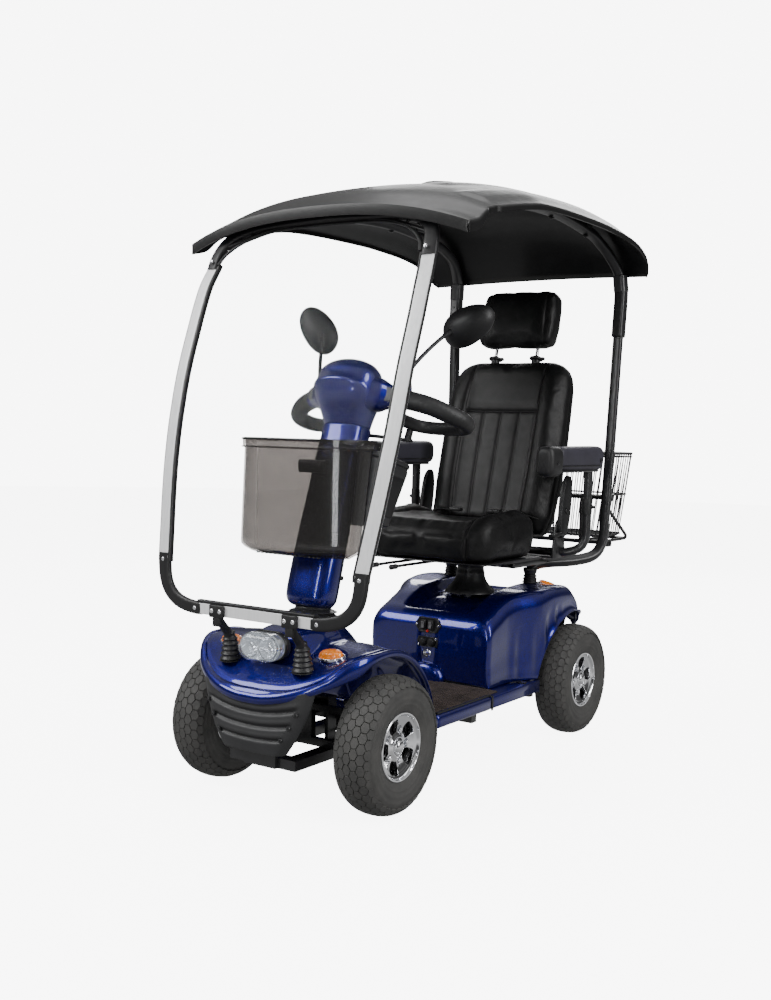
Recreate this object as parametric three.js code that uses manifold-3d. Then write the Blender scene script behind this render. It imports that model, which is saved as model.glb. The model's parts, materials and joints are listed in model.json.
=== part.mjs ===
// Four-wheeled mobility scooter with a windscreen, a hard roof, a captain seat and two baskets.
// Millimetres, +Z up. The scooter faces -Y and the rider's left is +X. While it is drawn, y = 0 is halfway
// between the axles; the last lines move everything so that the origin is under the middle of its box.
import * as THREE from 'three';
import { mergeVertices } from 'three/addons/utils/BufferGeometryUtils.js';
import Module from 'manifold-3d';

const wasm = await Module();
wasm.setup();

// ---- Driving dimensions -------------------------------------------------------------------------------
const GAP = 0.3; // between pieces that touch
const WHEELBASE = 1057;
const TRACK_X = 264; // centre of a tyre from the middle of the scooter
const TYRE_R = 175;
const TYRE_HALF_W = 54;
const BEAD_R = 82;
const ARCH_R = 217;
const FRONT_Y = -WHEELBASE / 2;
const REAR_Y = WHEELBASE / 2;
const KINGPIN_X = 196;
const STEER_ARM = 78;
const STEER_Y = -498; // the steering shaft stands here
const RAIL_X = 85;
const RAIL_Z = [112, 138];
const DECK = { halfW: 267, front: -290, rear: 6, low: 165, top: 203 };
const BODY_W = 264; // half width of the painted body over the wheels
const SEAT_Y = 323; // swivel axis
const SEAT_BASE_Z = 560;
const BACK_PIVOT = new THREE.Vector3(0, 443, 640);
const BACK_LEAN = THREE.MathUtils.degToRad(15);
const TILLER_PIVOT = new THREE.Vector3(0, STEER_Y, 475);
const TILLER_LEAN = THREE.MathUtils.degToRad(12.7);
const STAY_X = 116;
const STRUT = { x: 146, y: 450 };
const BOX_FRONT_Y = -743;
const BOX_REAR_Y = 995;

// ---- Materials ----------------------------------------------------------------------------------------
const finish = (color, roughness, metalness = 0) => ({ color, roughness, metalness });
const BLUE_PAINT = finish(0x0c1580, 0.25, 0.4);
const BLACK_STEEL = finish(0x18181a, 0.45, 0.6);
const BLACK_PLASTIC = finish(0x202124, 0.55);
const GREY_PLASTIC = finish(0x34363a, 0.6);
const TYRE_RUBBER = finish(0x38383a, 0.9);
const SOFT_RUBBER = finish(0x1c1c1e, 0.85);
const CHROME = finish(0xd8dade, 0.12, 1);
const ALUMINIUM = finish(0xe4e6e8, 0.4, 0.7);
const LEATHERETTE = finish(0x1a1b1d, 0.5);
const SMOKED = finish(0x3a3430, 0.15);
const CLEAR = finish(0xdfe8ee, 0.05);
const AMBER = finish(0xff7a10, 0.2);
const MAT_BROWN = finish(0x2e2522, 0.95);
const ROOF_BLACK = finish(0x232426, 0.35);

// ---- Shape helpers ------------------------------------------------------------------------------------
const V = (x, y, z) => new THREE.Vector3(x, y, z);
const scooter = new THREE.Group();

function add(name, geometry, look, parent = scooter) {
  const mesh = new THREE.Mesh(geometry, new THREE.MeshStandardMaterial(look));
  mesh.name = name;
  parent.add(mesh);
  return mesh;
}

function toSolid(geometry) {
  const bare = geometry.clone();
  bare.deleteAttribute('normal');
  bare.deleteAttribute('uv');
  const merged = mergeVertices(bare, 1e-3);
  return new wasm.Manifold(new wasm.Mesh({
    numProp: 3,
    vertProperties: new Float32Array(merged.attributes.position.array),
    triVerts: new Uint32Array(merged.index.array),
  }));
}

function toGeometry(solid) {
  const mesh = solid.getMesh();
  const geometry = new THREE.BufferGeometry();
  geometry.setAttribute('position', new THREE.BufferAttribute(mesh.vertProperties, 3));
  geometry.setIndex(new THREE.BufferAttribute(mesh.triVerts, 1));
  return geometry;
}

const join = (...pieces) => toGeometry(pieces.map(toSolid).reduce((all, piece) => all.add(piece)));
const cut = (base, ...tools) =>
  toGeometry(tools.map(toSolid).reduce((left, tool) => left.subtract(tool), toSolid(base)));
const common = (a, b) => toGeometry(toSolid(a).intersect(toSolid(b)));

const box = (x0, x1, y0, y1, z0, z1) =>
  new THREE.BoxGeometry(x1 - x0, y1 - y0, z1 - z0)
    .translate((x0 + x1) / 2, (y0 + y1) / 2, (z0 + z1) / 2);

// A cylinder between two points, with its own flat-sided section.
function rod(from, to, radius, sides = 10) {
  const along = to.clone().sub(from);
  const turn = new THREE.Quaternion().setFromUnitVectors(V(0, 1, 0), along.clone().normalize());
  return new THREE.CylinderGeometry(radius, radius, along.length(), sides)
    .applyQuaternion(turn)
    .translate(...from.clone().add(to).multiplyScalar(0.5).toArray());
}

// A bent tube through the given points.
function tube(points, radius, steps, sides = 8) {
  const section = new THREE.Shape();
  for (let i = 0; i < sides; i++) {
    const a = ((i + 0.5) / sides) * 2 * Math.PI;
    const corner = [radius * Math.cos(a), radius * Math.sin(a)];
    if (i === 0) section.moveTo(...corner);
    else section.lineTo(...corner);
  }
  return new THREE.ExtrudeGeometry(section, {
    steps, extrudePath: new THREE.CatmullRomCurve3(points, false, 'centripetal'),
  });
}

// A flat outline of [x, y] points pulled up from z0 to z1.
function slice(outline, z0, z1) {
  const shape = new THREE.Shape(outline.map(([x, y]) => new THREE.Vector2(x, y)));
  return new THREE.ExtrudeGeometry(shape, { depth: z1 - z0, bevelEnabled: false }).translate(0, 0, z0);
}

// A side outline of [y, z] points pulled across from x0 to x1.
function sideSlice(outline, x0, x1) {
  const turn = new THREE.Matrix4().makeBasis(V(0, 1, 0), V(0, 0, 1), V(1, 0, 0));
  return slice(outline, x0, x1).applyMatrix4(turn);
}

function meshOf(points, triangles) {
  let volume = 0;
  for (const [a, b, c] of triangles) {
    volume += points[a].dot(points[b].clone().cross(points[c]));
  }
  const outward = volume > 0 ? triangles : triangles.map(([a, b, c]) => [a, c, b]);
  const geometry = new THREE.BufferGeometry();
  geometry.setAttribute('position', new THREE.Float32BufferAttribute(points.flatMap((p) => p.toArray()), 3));
  geometry.setIndex(outward.flat());
  return geometry;
}

// A closed skin over equal rings of points, with a fan at each end.
function loft(rings) {
  const n = rings[0].length;
  const points = rings.flat();
  const triangles = [];
  for (let j = 0; j + 1 < rings.length; j++) {
    for (let i = 0; i < n; i++) {
      const a = j * n + i;
      const b = j * n + ((i + 1) % n);
      triangles.push([a, b, b + n], [a, b + n, a + n]);
    }
  }
  for (const [ring, flip] of [[0, true], [rings.length - 1, false]]) {
    const centre = rings[ring].reduce((sum, p) => sum.add(p), V(0, 0, 0)).divideScalar(n);
    points.push(centre);
    for (let i = 0; i < n; i++) {
      const a = ring * n + i;
      const b = ring * n + ((i + 1) % n);
      triangles.push(flip ? [b, a, points.length - 1] : [a, b, points.length - 1]);
    }
  }
  return meshOf(points, triangles);
}

// A sheet of even thickness from rows of points; each point's other side is given by the offset.
function sheet(rows, offset) {
  const m = rows.length;
  const n = rows[0].length;
  const front = rows.flat();
  const points = [...front, ...front.map((p) => p.clone().add(offset))];
  const at = (j, i, side) => side * m * n + j * n + i;
  const triangles = [];
  const quad = (a, b, c, d) => triangles.push([a, b, c], [a, c, d]);
  for (let j = 0; j + 1 < m; j++) {
    for (let i = 0; i + 1 < n; i++) {
      quad(at(j, i, 0), at(j, i + 1, 0), at(j + 1, i + 1, 0), at(j + 1, i, 0));
      quad(at(j, i, 1), at(j + 1, i, 1), at(j + 1, i + 1, 1), at(j, i + 1, 1));
    }
  }
  for (let i = 0; i + 1 < n; i++) {
    quad(at(0, i, 0), at(0, i, 1), at(0, i + 1, 1), at(0, i + 1, 0));
    quad(at(m - 1, i, 0), at(m - 1, i + 1, 0), at(m - 1, i + 1, 1), at(m - 1, i, 1));
  }
  for (let j = 0; j + 1 < m; j++) {
    quad(at(j, 0, 0), at(j + 1, 0, 0), at(j + 1, 0, 1), at(j, 0, 1));
    quad(at(j, n - 1, 0), at(j, n - 1, 1), at(j + 1, n - 1, 1), at(j + 1, n - 1, 0));
  }
  return meshOf(points, triangles);
}

// A rounded oval: power 2 is an ellipse and a higher power is squarer.
function oval(rx, ry, power, sides, place) {
  const ring = [];
  for (let i = 0; i < sides; i++) {
    const a = ((i + 0.5) / sides) * 2 * Math.PI;
    const c = Math.cos(a);
    const s = Math.sin(a);
    const x = rx * Math.sign(c) * Math.abs(c) ** (2 / power);
    const y = ry * Math.sign(s) * Math.abs(s) ** (2 / power);
    ring.push(place(x, y));
  }
  return ring;
}

// Ovals stacked up Z: each level is [z, half width, half depth, centre y].
const stack = (levels, power, sides) =>
  loft(levels.map(([z, rx, ry, cy]) => oval(rx, ry, power, sides, (x, y) => V(x, cy + y, z))));

const mirrorX = (points) => points.map((p) => V(-p.x, p.y, p.z));
const SIDES = [['left', 1], ['right', -1]];

// Straight-line reading of a table of [position, value] pairs.
function reading(table, at) {
  for (let i = 0; i + 1 < table.length; i++) {
    const [p0, v0] = table[i];
    const [p1, v1] = table[i + 1];
    if (at <= p1) return v0 + ((v1 - v0) * Math.max(0, at - p0)) / (p1 - p0);
  }
  return table[table.length - 1][1];
}

// ---- Frame, axles and drive ---------------------------------------------------------------------------
const PEDESTAL_TOP = 446;
const STAY_FOOT_Z = 275;
const HEAD_TUBE = { low: 240, high: 430, radius: 26, bore: 17.5 };

function mainFrame() {
  const [z0, z1] = RAIL_Z;
  const pieces = [
    box(-105, 105, -692, -655, z0, z1),
    box(-105, 105, -300, -270, z0, z1),
    box(-105, 105, 40, 70, z0, z1),
    box(-105, 105, 300, 346, z0, z1),
    box(-105, 105, 606, 630, z0, z1),
    box(-165, 165, 438, 462, z0, z0 + 10),
    box(-230, 230, -260, -232, z1 - 8, DECK.top - 10 - GAP),
    box(-230, 230, -48, -20, z1 - 8, DECK.top - 10 - GAP),
    box(-50, 50, -702, -692, z0, STAY_FOOT_Z),
    box(-126, 126, -702, -672, STAY_FOOT_Z - 13, STAY_FOOT_Z),
    box(-70, 70, STEER_Y - 16, STEER_Y + 20, HEAD_TUBE.low, HEAD_TUBE.low + 22),
    rod(V(0, SEAT_Y, z0), V(0, SEAT_Y, PEDESTAL_TOP), 30),
  ];
  for (const [, side] of SIDES) {
    pieces.push(box(side * RAIL_X - 20, side * RAIL_X + 20, -690, 630, z0, z1));
    pieces.push(box(side * 65 - 5, side * 65 + 5, STEER_Y - 16, STEER_Y + 20, z1 - 4, HEAD_TUBE.low + 22));
    pieces.push(rod(V(side * STRUT.x, STRUT.y, z0), V(side * STRUT.x, STRUT.y, 440), 14));
    pieces.push(box(side * RAIL_X - 20, side * RAIL_X + 20, REAR_Y - 15, REAR_Y + 15, z1 - 4, 147.5));
  }
  const headTube = rod(V(0, STEER_Y, HEAD_TUBE.low), V(0, STEER_Y, HEAD_TUBE.high), HEAD_TUBE.radius, 14);
  const bore = rod(V(0, STEER_Y, HEAD_TUBE.low - 5), V(0, STEER_Y, HEAD_TUBE.high + 5), HEAD_TUBE.bore, 14);
  return cut(join(...pieces, headTube), bore);
}

// Two cross bars with pads above and below each kingpin, and a block between them in the middle.
const KNUCKLE_Z = [159, 231];
function frontAxleBeam() {
  const pieces = [box(-40, 40, -545, -527, 150, 240)];
  for (const [low, high] of [[RAIL_Z[1] + GAP, KNUCKLE_Z[0] - GAP], [KNUCKLE_Z[1] + GAP, 247]]) {
    pieces.push(box(-206, 206, -545, -527, low, high));
    for (const [, side] of SIDES) {
      pieces.push(box(side * 193 - 13, side * 193 + 13, -541, -515, low, high));
    }
  }
  return join(...pieces);
}

// A kingpin barrel with the wheel's stub axle and an arm straight back to the tie rod.
const TIE_Z = [192, 206];
function knuckle(side) {
  const axle = rod(V(0, 0, TYRE_R), V(side * 100, 0, TYRE_R), 12);
  const barrel = rod(V(0, 0, KNUCKLE_Z[0]), V(0, 0, KNUCKLE_Z[1]), 13);
  const arm = box(-7, 7, 0, STEER_ARM + 8, TIE_Z[0] - 10, TIE_Z[0] - GAP);
  return join(axle, barrel, arm);
}

function tieRod() {
  const y = FRONT_Y + STEER_ARM;
  const tab = box(-10, 10, y, STEER_Y + STEER_ARM + 10, TIE_Z[0] + 4, TIE_Z[1]);
  return join(box(-KINGPIN_X - 8, KINGPIN_X + 8, y - 7, y + 7, ...TIE_Z), tab);
}

function transaxle() {
  const z = TYRE_R;
  const pieces = [
    box(-58, 58, REAR_Y - 58, REAR_Y + 58, 118, 232),
    rod(V(-188, REAR_Y, z), V(188, REAR_Y, z), 26, 16),
    rod(V(-TRACK_X - 32, REAR_Y, z), V(TRACK_X + 32, REAR_Y, z), 12),
    rod(V(0, 362, z), V(0, REAR_Y, z), 50, 20),
  ];
  return join(...pieces);
}

add('main_frame', mainFrame(), BLACK_STEEL);
add('front_axle_beam', frontAxleBeam(), BLACK_STEEL);
add('transaxle', transaxle(), BLACK_STEEL);
for (const [label, side] of SIDES) {
  const battery = box(-84, 84, 92, 282, RAIL_Z[1] + GAP, 330);
  add(`battery_${label}`, battery, GREY_PLASTIC).position.x = side * 88;
  add(`knuckle_${label}`, knuckle(side), BLACK_STEEL).position.set(side * KINGPIN_X, FRONT_Y, 0);
}
add('tie_rod', tieRod(), BLACK_STEEL);

// The shaft turns in the head tube; its short arm drives the tie rod's tab from below.
function steeringColumn() {
  const arm = box(-9, 9, 0, STEER_ARM + 9, TIE_Z[1] + GAP, TIE_Z[1] + 10);
  return join(rod(V(0, 0, TIE_Z[1] + GAP), V(0, 0, 460), 15), arm, rod(V(0, 0, 456), V(0, 0, 464), 33, 16));
}
add('steering_column', steeringColumn(), BLACK_STEEL).position.y = STEER_Y;

// ---- Wheels -------------------------------------------------------------------------------------------
const WHEEL_SIDES = 24;
const ROLLING_R = TYRE_R / Math.cos(Math.PI / WHEEL_SIDES); // so that a flat of the tread stands on the floor

function ringOf(profile, sides) {
  const closed = [...profile, profile[0]].map(([r, x]) => new THREE.Vector2(r, x));
  return new THREE.LatheGeometry(closed, sides, Math.PI / sides).rotateZ(-Math.PI / 2);
}

function tyre() {
  const half = [[BEAD_R + 0.6, 38], [118, TYRE_HALF_W], [154, 51], [ROLLING_R, 24]];
  const other = half.map(([r, x]) => [r, -x]).reverse();
  return ringOf([...half, ...other].reverse(), WHEEL_SIDES);
}

// An open ring, a dished face with five windows, and a hub bored for the axle.
function rim() {
  const barrel = ringOf([[74, -38], [BEAD_R, -38], [BEAD_R, 40], [74, 40]], WHEEL_SIDES);
  const face = rod(V(20, 0, 0), V(30, 0, 0), 76, WHEEL_SIDES);
  const hub = rod(V(4, 0, 0), V(39, 0, 0), 25);
  const tools = [rod(V(0, 0, 0), V(34, 0, 0), 13.5)];
  for (let k = 0; k < 5; k++) {
    const window = slice([[34, -8], [67, -19], [67, 19], [34, 8]], 10, 40).rotateY(Math.PI / 2);
    tools.push(window.rotateX(((k + 0.25) * 2 * Math.PI) / 5));
  }
  return cut(join(barrel, face, hub), ...tools);
}

for (const [end, y] of [['front', FRONT_Y], ['rear', REAR_Y]]) {
  for (const [label, side] of SIDES) {
    const wheel = new THREE.Group();
    wheel.position.set(side * TRACK_X, y, TYRE_R);
    wheel.rotation.z = side > 0 ? 0 : Math.PI;
    scooter.add(wheel);
    add(`tyre_${end}_${label}`, tyre(), TYRE_RUBBER, wheel);
    add(`rim_${end}_${label}`, rim(), CHROME, wheel);
  }
}

// ---- Floor --------------------------------------------------------------------------------------------
const floor = box(-DECK.halfW, DECK.halfW, DECK.front, DECK.rear, DECK.low, DECK.top);
const underFloor = box(
  -DECK.halfW + 5, DECK.halfW - 5, DECK.front + 5, DECK.rear - 5, DECK.low - 5, DECK.top - 10);
add('floor_deck', cut(floor, underFloor), BLUE_PAINT);
add('deck_mat', box(-250, 250, DECK.front + 6, 74, DECK.top + GAP, DECK.top + 5), MAT_BROWN);

// ---- Front body: a nose with a wide lip, fenders over both wheels and a cowl round the steering -------
const SKIN = 5;
const NOSE = [[0, -742], [80, -737], [150, -720], [208, -692], [247, -652], [BODY_W, -610]];
const CREST = [[-745, 296], [-720, 330], [-683, 372], [-664, 374], [-650, 432], [-600, 446],
  [-500, 450], [-440, 436], [-400, 396], [-350, 296], [-310, 214], [-293, 207]];
const MIDDLE = [[-745, 296], [-720, 328], [-683, 362], [-624, 396], [-560, 412], [-500, 412],
  [-432, 388], [-400, 366], [-350, 280], [-310, 212], [-293, 206]];
const FENDER = [[-745, 296], [-700, 352], [-655, 396], [-596, 406], [-515, 404], [-432, 374],
  [-383, 330], [-341, 276], [-312, 216], [-293, 206]];
const STATIONS = [-745, -720, -700, -683, -664, -650, -620, -585, -540, -500, -460, -432, -400,
  -370, -341, -312, -293];

// The body under the top surface, thinned by inset for the hollow inside.
function noseBlock(inset, floorZ) {
  const rings = STATIONS.map((y, j) => {
    const at = j === STATIONS.length - 1 ? y + (inset > 0 ? 20 : 0) : y;
    const top = [[0, reading(CREST, y)], [66, reading(CREST, y) - 4], [108, reading(MIDDLE, y)],
      [170, reading(MIDDLE, y)], [236, reading(FENDER, y)], [300, reading(FENDER, y) - 14]];
    const right = top.map(([x, z]) => V(x, at, Math.max(z - inset, floorZ + 1)));
    const left = mirrorX(right.slice(1)).reverse();
    return [V(-300, at, floorZ), V(300, at, floorZ), ...right.reverse(), ...left.reverse()];
  });
  return loft(rings);
}

function nosePlan(inset, z0, z1, back) {
  const shrink = (BODY_W - inset) / BODY_W;
  const half = [...NOSE.map(([x, y]) => [x * shrink, y + inset]), [BODY_W - inset, back]];
  const other = half.slice(1).map(([x, y]) => [-x, y]).reverse();
  return slice([...half, ...other], z0, z1);
}

// Everything below the lip, which rises from the middle of the nose to the fenders.
function belowLip() {
  const outline = [];
  for (let x = -300; x <= 300; x += 50) {
    outline.push([x, 279 + 84 * (x / 265) ** 2]);
  }
  const profile = [[-300, 0], [300, 0], ...outline.reverse()];
  const turn = new THREE.Matrix4().makeBasis(V(1, 0, 0), V(0, 0, 1), V(0, -1, 0));
  return slice(profile, 0, 260).applyMatrix4(turn).translate(0, -500, 0);
}

const archAt = (y, side, inner) =>
  rod(V(side * inner, y, TYRE_R), V(side * 320, y, TYRE_R), ARCH_R, 32);

const LAMP = { y: -700, z: 410 };
const headlampBody = (grow) =>
  loft([[-34, 30, 22], [-26, 52, 34], [0, 62, 39], [26, 58, 35], [32, 40, 24]].map(([y, rx, rz]) =>
    oval(rx + grow, rz + grow, 2.6, 16, (x, z) => V(x, LAMP.y + y * (1 + grow / 30), LAMP.z + z))));

const INDICATOR = { x: 159, y: -627, z: 400 };
const indicatorBody = (grow) =>
  loft([[-12, 26, 15], [0, 33, 20], [9, 26, 16], [14, 12, 7]].map(([z, rx, ry]) =>
    oval(rx + grow, ry + grow, 2, 12, (x, y) => V(x, y, z + (z > 0 ? grow : -grow)))));

function frontShell() {
  const outer = common(noseBlock(0, DECK.low), nosePlan(0, 100, 600, DECK.front - 3));
  const hollow = common(noseBlock(SKIN, 60), nosePlan(SKIN, 50, 600, DECK.front + 10));
  const tools = [hollow, belowLip(), headlampBody(1), rod(V(0, STEER_Y, 300), V(0, STEER_Y, 600), 45, 20)];
  for (const [, side] of SIDES) {
    tools.push(archAt(FRONT_Y, side, 108));
    tools.push(rod(V(side * STAY_X, -683, 250), V(side * STAY_X, -683, 500), 14));
    tools.push(indicatorBody(1).translate(side * INDICATOR.x, INDICATOR.y, INDICATOR.z));
  }
  return cut(outer, ...tools);
}

add('front_shell', frontShell(), BLUE_PAINT);
add('headlamp', headlampBody(0), CLEAR);
for (const [label, side] of SIDES) {
  add(`indicator_front_${label}`, indicatorBody(0), AMBER)
    .position.set(side * INDICATOR.x, INDICATOR.y, INDICATOR.z);
}

// The dark guard below the lip narrows downwards and curves back at its sides.
function bumper() {
  const rows = [[296, 157], [262, 146], [222, 130], [180, 108], [148, 98]].map(([z, halfW]) => {
    const row = [];
    for (let i = -4; i <= 4; i++) {
      const x = (halfW * i) / 4;
      row.push(V(x, -732 + 32 * (x / 157) ** 2 + (z < 200 ? (200 - z) * 0.12 : 0), z));
    }
    return row;
  });
  return sheet(rows, V(0, 6, 0));
}
add('front_bumper', bumper(), GREY_PLASTIC);

// ---- Rear body: a box that holds the batteries, flaring over the rear wheels ---------------------------
const REAR_BACK = 652;
const REAR_TOP = [[77, 378], [92, 404], [130, 420], [197, 452], [330, 474], [560, 478], [610, 440],
  [REAR_BACK, 330]];
const REAR_HALF = [[77, 208], [92, 214], [300, 215], [352, 232], [400, 256], [440, 262], [560, 262],
  [610, 240], [652, 190]];
const REAR_STATIONS = [77, 92, 130, 197, 300, 352, 400, 440, 500, 560, 610, REAR_BACK];

function rearBlock(inset, floorZ, widest) {
  return loft(REAR_STATIONS.map((y, j) => {
    const at = j === 0 ? y + inset : j === REAR_STATIONS.length - 1 ? y - inset : y;
    const w = Math.min(reading(REAR_HALF, y) - inset, widest);
    const h = reading(REAR_TOP, y) - inset;
    const right = [[w, floorZ], [w, h - 60], [w - 8, h - 26], [w - 30, h - 6], [w - 70, h], [0, h - 6]];
    const points = right.map(([x, z]) => V(x, at, z));
    return [...points, ...mirrorX(points.slice(0, -1)).reverse()];
  }));
}

function rearShell() {
  const foot = box(-BODY_W, BODY_W, DECK.rear + 4, 240, DECK.low, DECK.top);
  const outer = join(rearBlock(0, DECK.low, BODY_W), foot);
  const tools = [
    rearBlock(SKIN, 60, 194),
    box(-BODY_W + SKIN, BODY_W - SKIN, DECK.rear + 9, 235, 60, DECK.top - SKIN),
    rod(V(0, SEAT_Y, 300), V(0, SEAT_Y, 600), 84, 20),
  ];
  for (const [, side] of SIDES) {
    const wall = side * 196;
    tools.push(archAt(REAR_Y, side, 199));
    tools.push(rod(V(wall - 12, REAR_Y, TYRE_R), V(wall + 12, REAR_Y, TYRE_R), 32, 20));
    tools.push(box(wall - 12, wall + 12, REAR_Y - 31, REAR_Y + 31, 60, TYRE_R));
    tools.push(rod(V(side * STRUT.x, STRUT.y, 400), V(side * STRUT.x, STRUT.y, 600), 19));
  }
  return cut(outer, ...tools);
}

add('rear_shell', rearShell(), BLUE_PAINT);
add('switch_panel', box(-36, 36, 71.5, 77 - GAP, 296, 366), BLACK_PLASTIC);

// ---- Windscreen ---------------------------------------------------------------------------------------
// Each level is [half width to the rail's middle, y of the front face, z], from the roof to the lower corner.
const SCREEN = [[343, -526, 1384], [352, -557, 1319], [354, -594, 1213], [353, -633, 1092],
  [350, -661, 976], [342, -685, 865], [332, -703, 768], [322, -717, 687], [313, -730, 612]];
const RAIL_HALF_W = 18;
const RAIL_DEEP = 14;

function screenRail(side) {
  return loft(SCREEN.map(([halfW, y, z]) => [
    V(side * (halfW - RAIL_HALF_W), y, z), V(side * (halfW + RAIL_HALF_W), y, z),
    V(side * (halfW + RAIL_HALF_W), y + RAIL_DEEP, z), V(side * (halfW - RAIL_HALF_W), y + RAIL_DEEP, z)]));
}

// The clear sheet lies between the rails, the lower corners and the top frame.
function screenPanel() {
  const top = [[232, -464, 1468], [278, -484, 1444], [312, -510, 1412]];
  const sides = SCREEN.map(([halfW, y, z]) => [halfW - RAIL_HALF_W - 1, y + 5, z]);
  const bottom = [[282, -726, 576], [262, -727, 545], [230, -728, 519], [181, -728, 510]];
  return sheet([...top, ...sides, ...bottom].map(([halfW, y, z]) =>
    [V(-halfW, y, z), V(halfW, y, z)]), V(0, 4, 0));
}

// One bent bar from the left rail's end, across, to the right rail's end.
function crossFrame(halfPath, radius, steps) {
  return tube([...halfPath, ...mirrorX(halfPath).reverse()], radius, steps);
}
const TOP_PATH = [V(343, -514, 1389), V(340, -500, 1420), V(320, -481, 1456), V(284, -468, 1478),
  V(220, -462, 1488), V(80, -460, 1494)];
const BOTTOM_PATH = [V(312, -721, 606), V(309, -722, 576), V(292, -722, 540), V(256, -722, 507),
  V(205, -722, 492), V(80, -722, 491)];

add('windscreen_panel', screenPanel(), CLEAR);
for (const [label, side] of SIDES) {
  add(`windscreen_rail_${label}`, screenRail(side), ALUMINIUM);
}
add('windscreen_top_frame', crossFrame(TOP_PATH, 14, 22), BLACK_PLASTIC);
add('windscreen_bottom_frame', crossFrame(BOTTOM_PATH, 14, 22), BLACK_PLASTIC);

// A stay rises from the frame through the nose and is bolted to the front of the bottom bar.
function screenStay() {
  const path = [V(0, -683, STAY_FOOT_Z + GAP), V(0, -684, 340), V(0, -700, 400), V(0, -726, 440),
    V(0, -733, 462)];
  return join(tube(path, 9, 6), box(-22, 22, BOX_FRONT_Y, -737, 446, 504));
}
for (const [label, side] of SIDES) {
  add(`windscreen_stay_${label}`, screenStay(), BLACK_PLASTIC).position.x = side * STAY_X;
}

// ---- Roof and its posts -------------------------------------------------------------------------------
const ROOF_MIDDLE = [[-540, 1515], [-480, 1552], [-300, 1612], [0, 1668], [250, 1690], [450, 1680],
  [600, 1632], [690, 1566], [735, 1490]];
const ROOF_EDGE = [[-540, 1447], [-480, 1462], [-396, 1494], [-300, 1516], [-75, 1556], [281, 1564],
  [585, 1546], [690, 1508], [735, 1478]];
const ROOF_HALF = [[-540, 441], [-480, 438], [-396, 430], [0, 424], [300, 422], [600, 418], [735, 411]];
const ROOF_STATIONS = [-540, -480, -396, -300, -150, 0, 200, 360, 500, 600, 650, 690, 735];
const ROOF_ACROSS = [-1, -0.9, -0.7, -0.45, -0.15, 0.15, 0.45, 0.7, 0.9, 1];

function roof() {
  const rows = ROOF_STATIONS.map((y) => {
    const [middle, edge, halfW] = [ROOF_MIDDLE, ROOF_EDGE, ROOF_HALF].map((table) => reading(table, y));
    const sweep = y < -400 ? 34 : 0;
    return ROOF_ACROSS.map((t) =>
      V(halfW * t, y + sweep * t * t, middle - (middle - edge) * Math.abs(t) ** 2.4));
  });
  return sheet(rows, V(0, 0, -6));
}
add('canopy_shell', roof(), ROOF_BLACK);

// A strut rises through the rear body, runs out behind the seat, climbs, and turns forward under the roof.
const POST_PATH = [V(STRUT.x, STRUT.y, 441), V(146, 450, 500), V(150, 458, 530), V(176, 492, 543),
  V(240, 575, 549), V(282, 634, 566), V(298, 662, 612), V(300, 668, 680), V(300, 689, 903), V(317, 707, 1278),
  V(306, 710, 1430), V(298, 694, 1486), V(290, 650, 1534), V(284, 596, 1562), V(283, 500, 1588),
  V(283, 250, 1609), V(283, 0, 1594), V(283, -250, 1550), V(283, -400, 1508), V(283, -448, 1488)];
for (const [label, side] of SIDES) {
  const path = side > 0 ? POST_PATH : mirrorX(POST_PATH);
  add(`canopy_post_${label}`, tube(path, 16, 34), BLACK_STEEL);
}

// ---- Rear basket --------------------------------------------------------------------------------------
const CARRIER_Y = 706; // just behind the circle that the armrests sweep as the seat turns
function basketCarrier() {
  const pieces = [];
  for (const z of [601, 750]) {
    pieces.push(rod(V(-276, CARRIER_Y, z), V(276, CARRIER_Y, z), 7, 8));
  }
  for (const x of [-200, 200]) {
    pieces.push(rod(V(x, CARRIER_Y, 596), V(x, CARRIER_Y, 755), 7, 8));
    pieces.push(rod(V(x, CARRIER_Y, 601), V(x, 940, 601), 7, 8));
  }
  return join(...pieces);
}
function rearBasket() {
  const level = (z, halfW, front, back) =>
    oval(halfW, (back - front) / 2, 9, 20, (x, y) => V(x, (front + back) / 2 + y, z));
  const outer = loft([level(610, 250, 758, 945), level(895, 270, 750, BOX_REAR_Y)]);
  const inner = loft([level(614, 246, 762, 941), level(900, 266.5, 753.5, BOX_REAR_Y - 3.5)]);
  return cut(outer, inner);
}
add('basket_carrier', basketCarrier(), BLACK_STEEL);
add('rear_basket', rearBasket(), BLACK_STEEL);

// ---- Tiller: everything above the tilt pivot, drawn along the leaning column ---------------------------
const tiller = new THREE.Group();
tiller.position.copy(TILLER_PIVOT);
tiller.rotation.x = -TILLER_LEAN;
scooter.add(tiller);

const COVER_TOP = 500;
add('tiller_cover', stack([[8, 50, 35, 0], [16, 74, 54, 0], [34, 86, 61, 0], [150, 86, 61, 0],
  [300, 76, 57, 0], [420, 70, 55, 0], [COVER_TOP, 72, 57, 0]], 2.4, 20), BLUE_PAINT, tiller);

const DASH_NORMAL = V(0, Math.cos(0.6), Math.sin(0.6));
const DASH_POINT = V(0, 50, 612);
const onDash = (geometry) => {
  const turn = new THREE.Quaternion().setFromUnitVectors(V(0, 0, 1), DASH_NORMAL);
  return geometry.applyQuaternion(turn);
};

function tillerHead() {
  const head = stack([[COVER_TOP + GAP, 72, 58, 0], [530, 88, 80, -18], [563, 104, 92, -26],
    [600, 109, 92, -24], [640, 98, 78, -14], [668, 66, 52, -4], [680, 30, 24, 0]], 2.3, 18);
  const beyondDash = onDash(box(-150, 150, -150, 150, 0, 100)).translate(...DASH_POINT.toArray());
  return cut(head, beyondDash);
}
add('tiller_head', tillerHead(), BLUE_PAINT, tiller);

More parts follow.
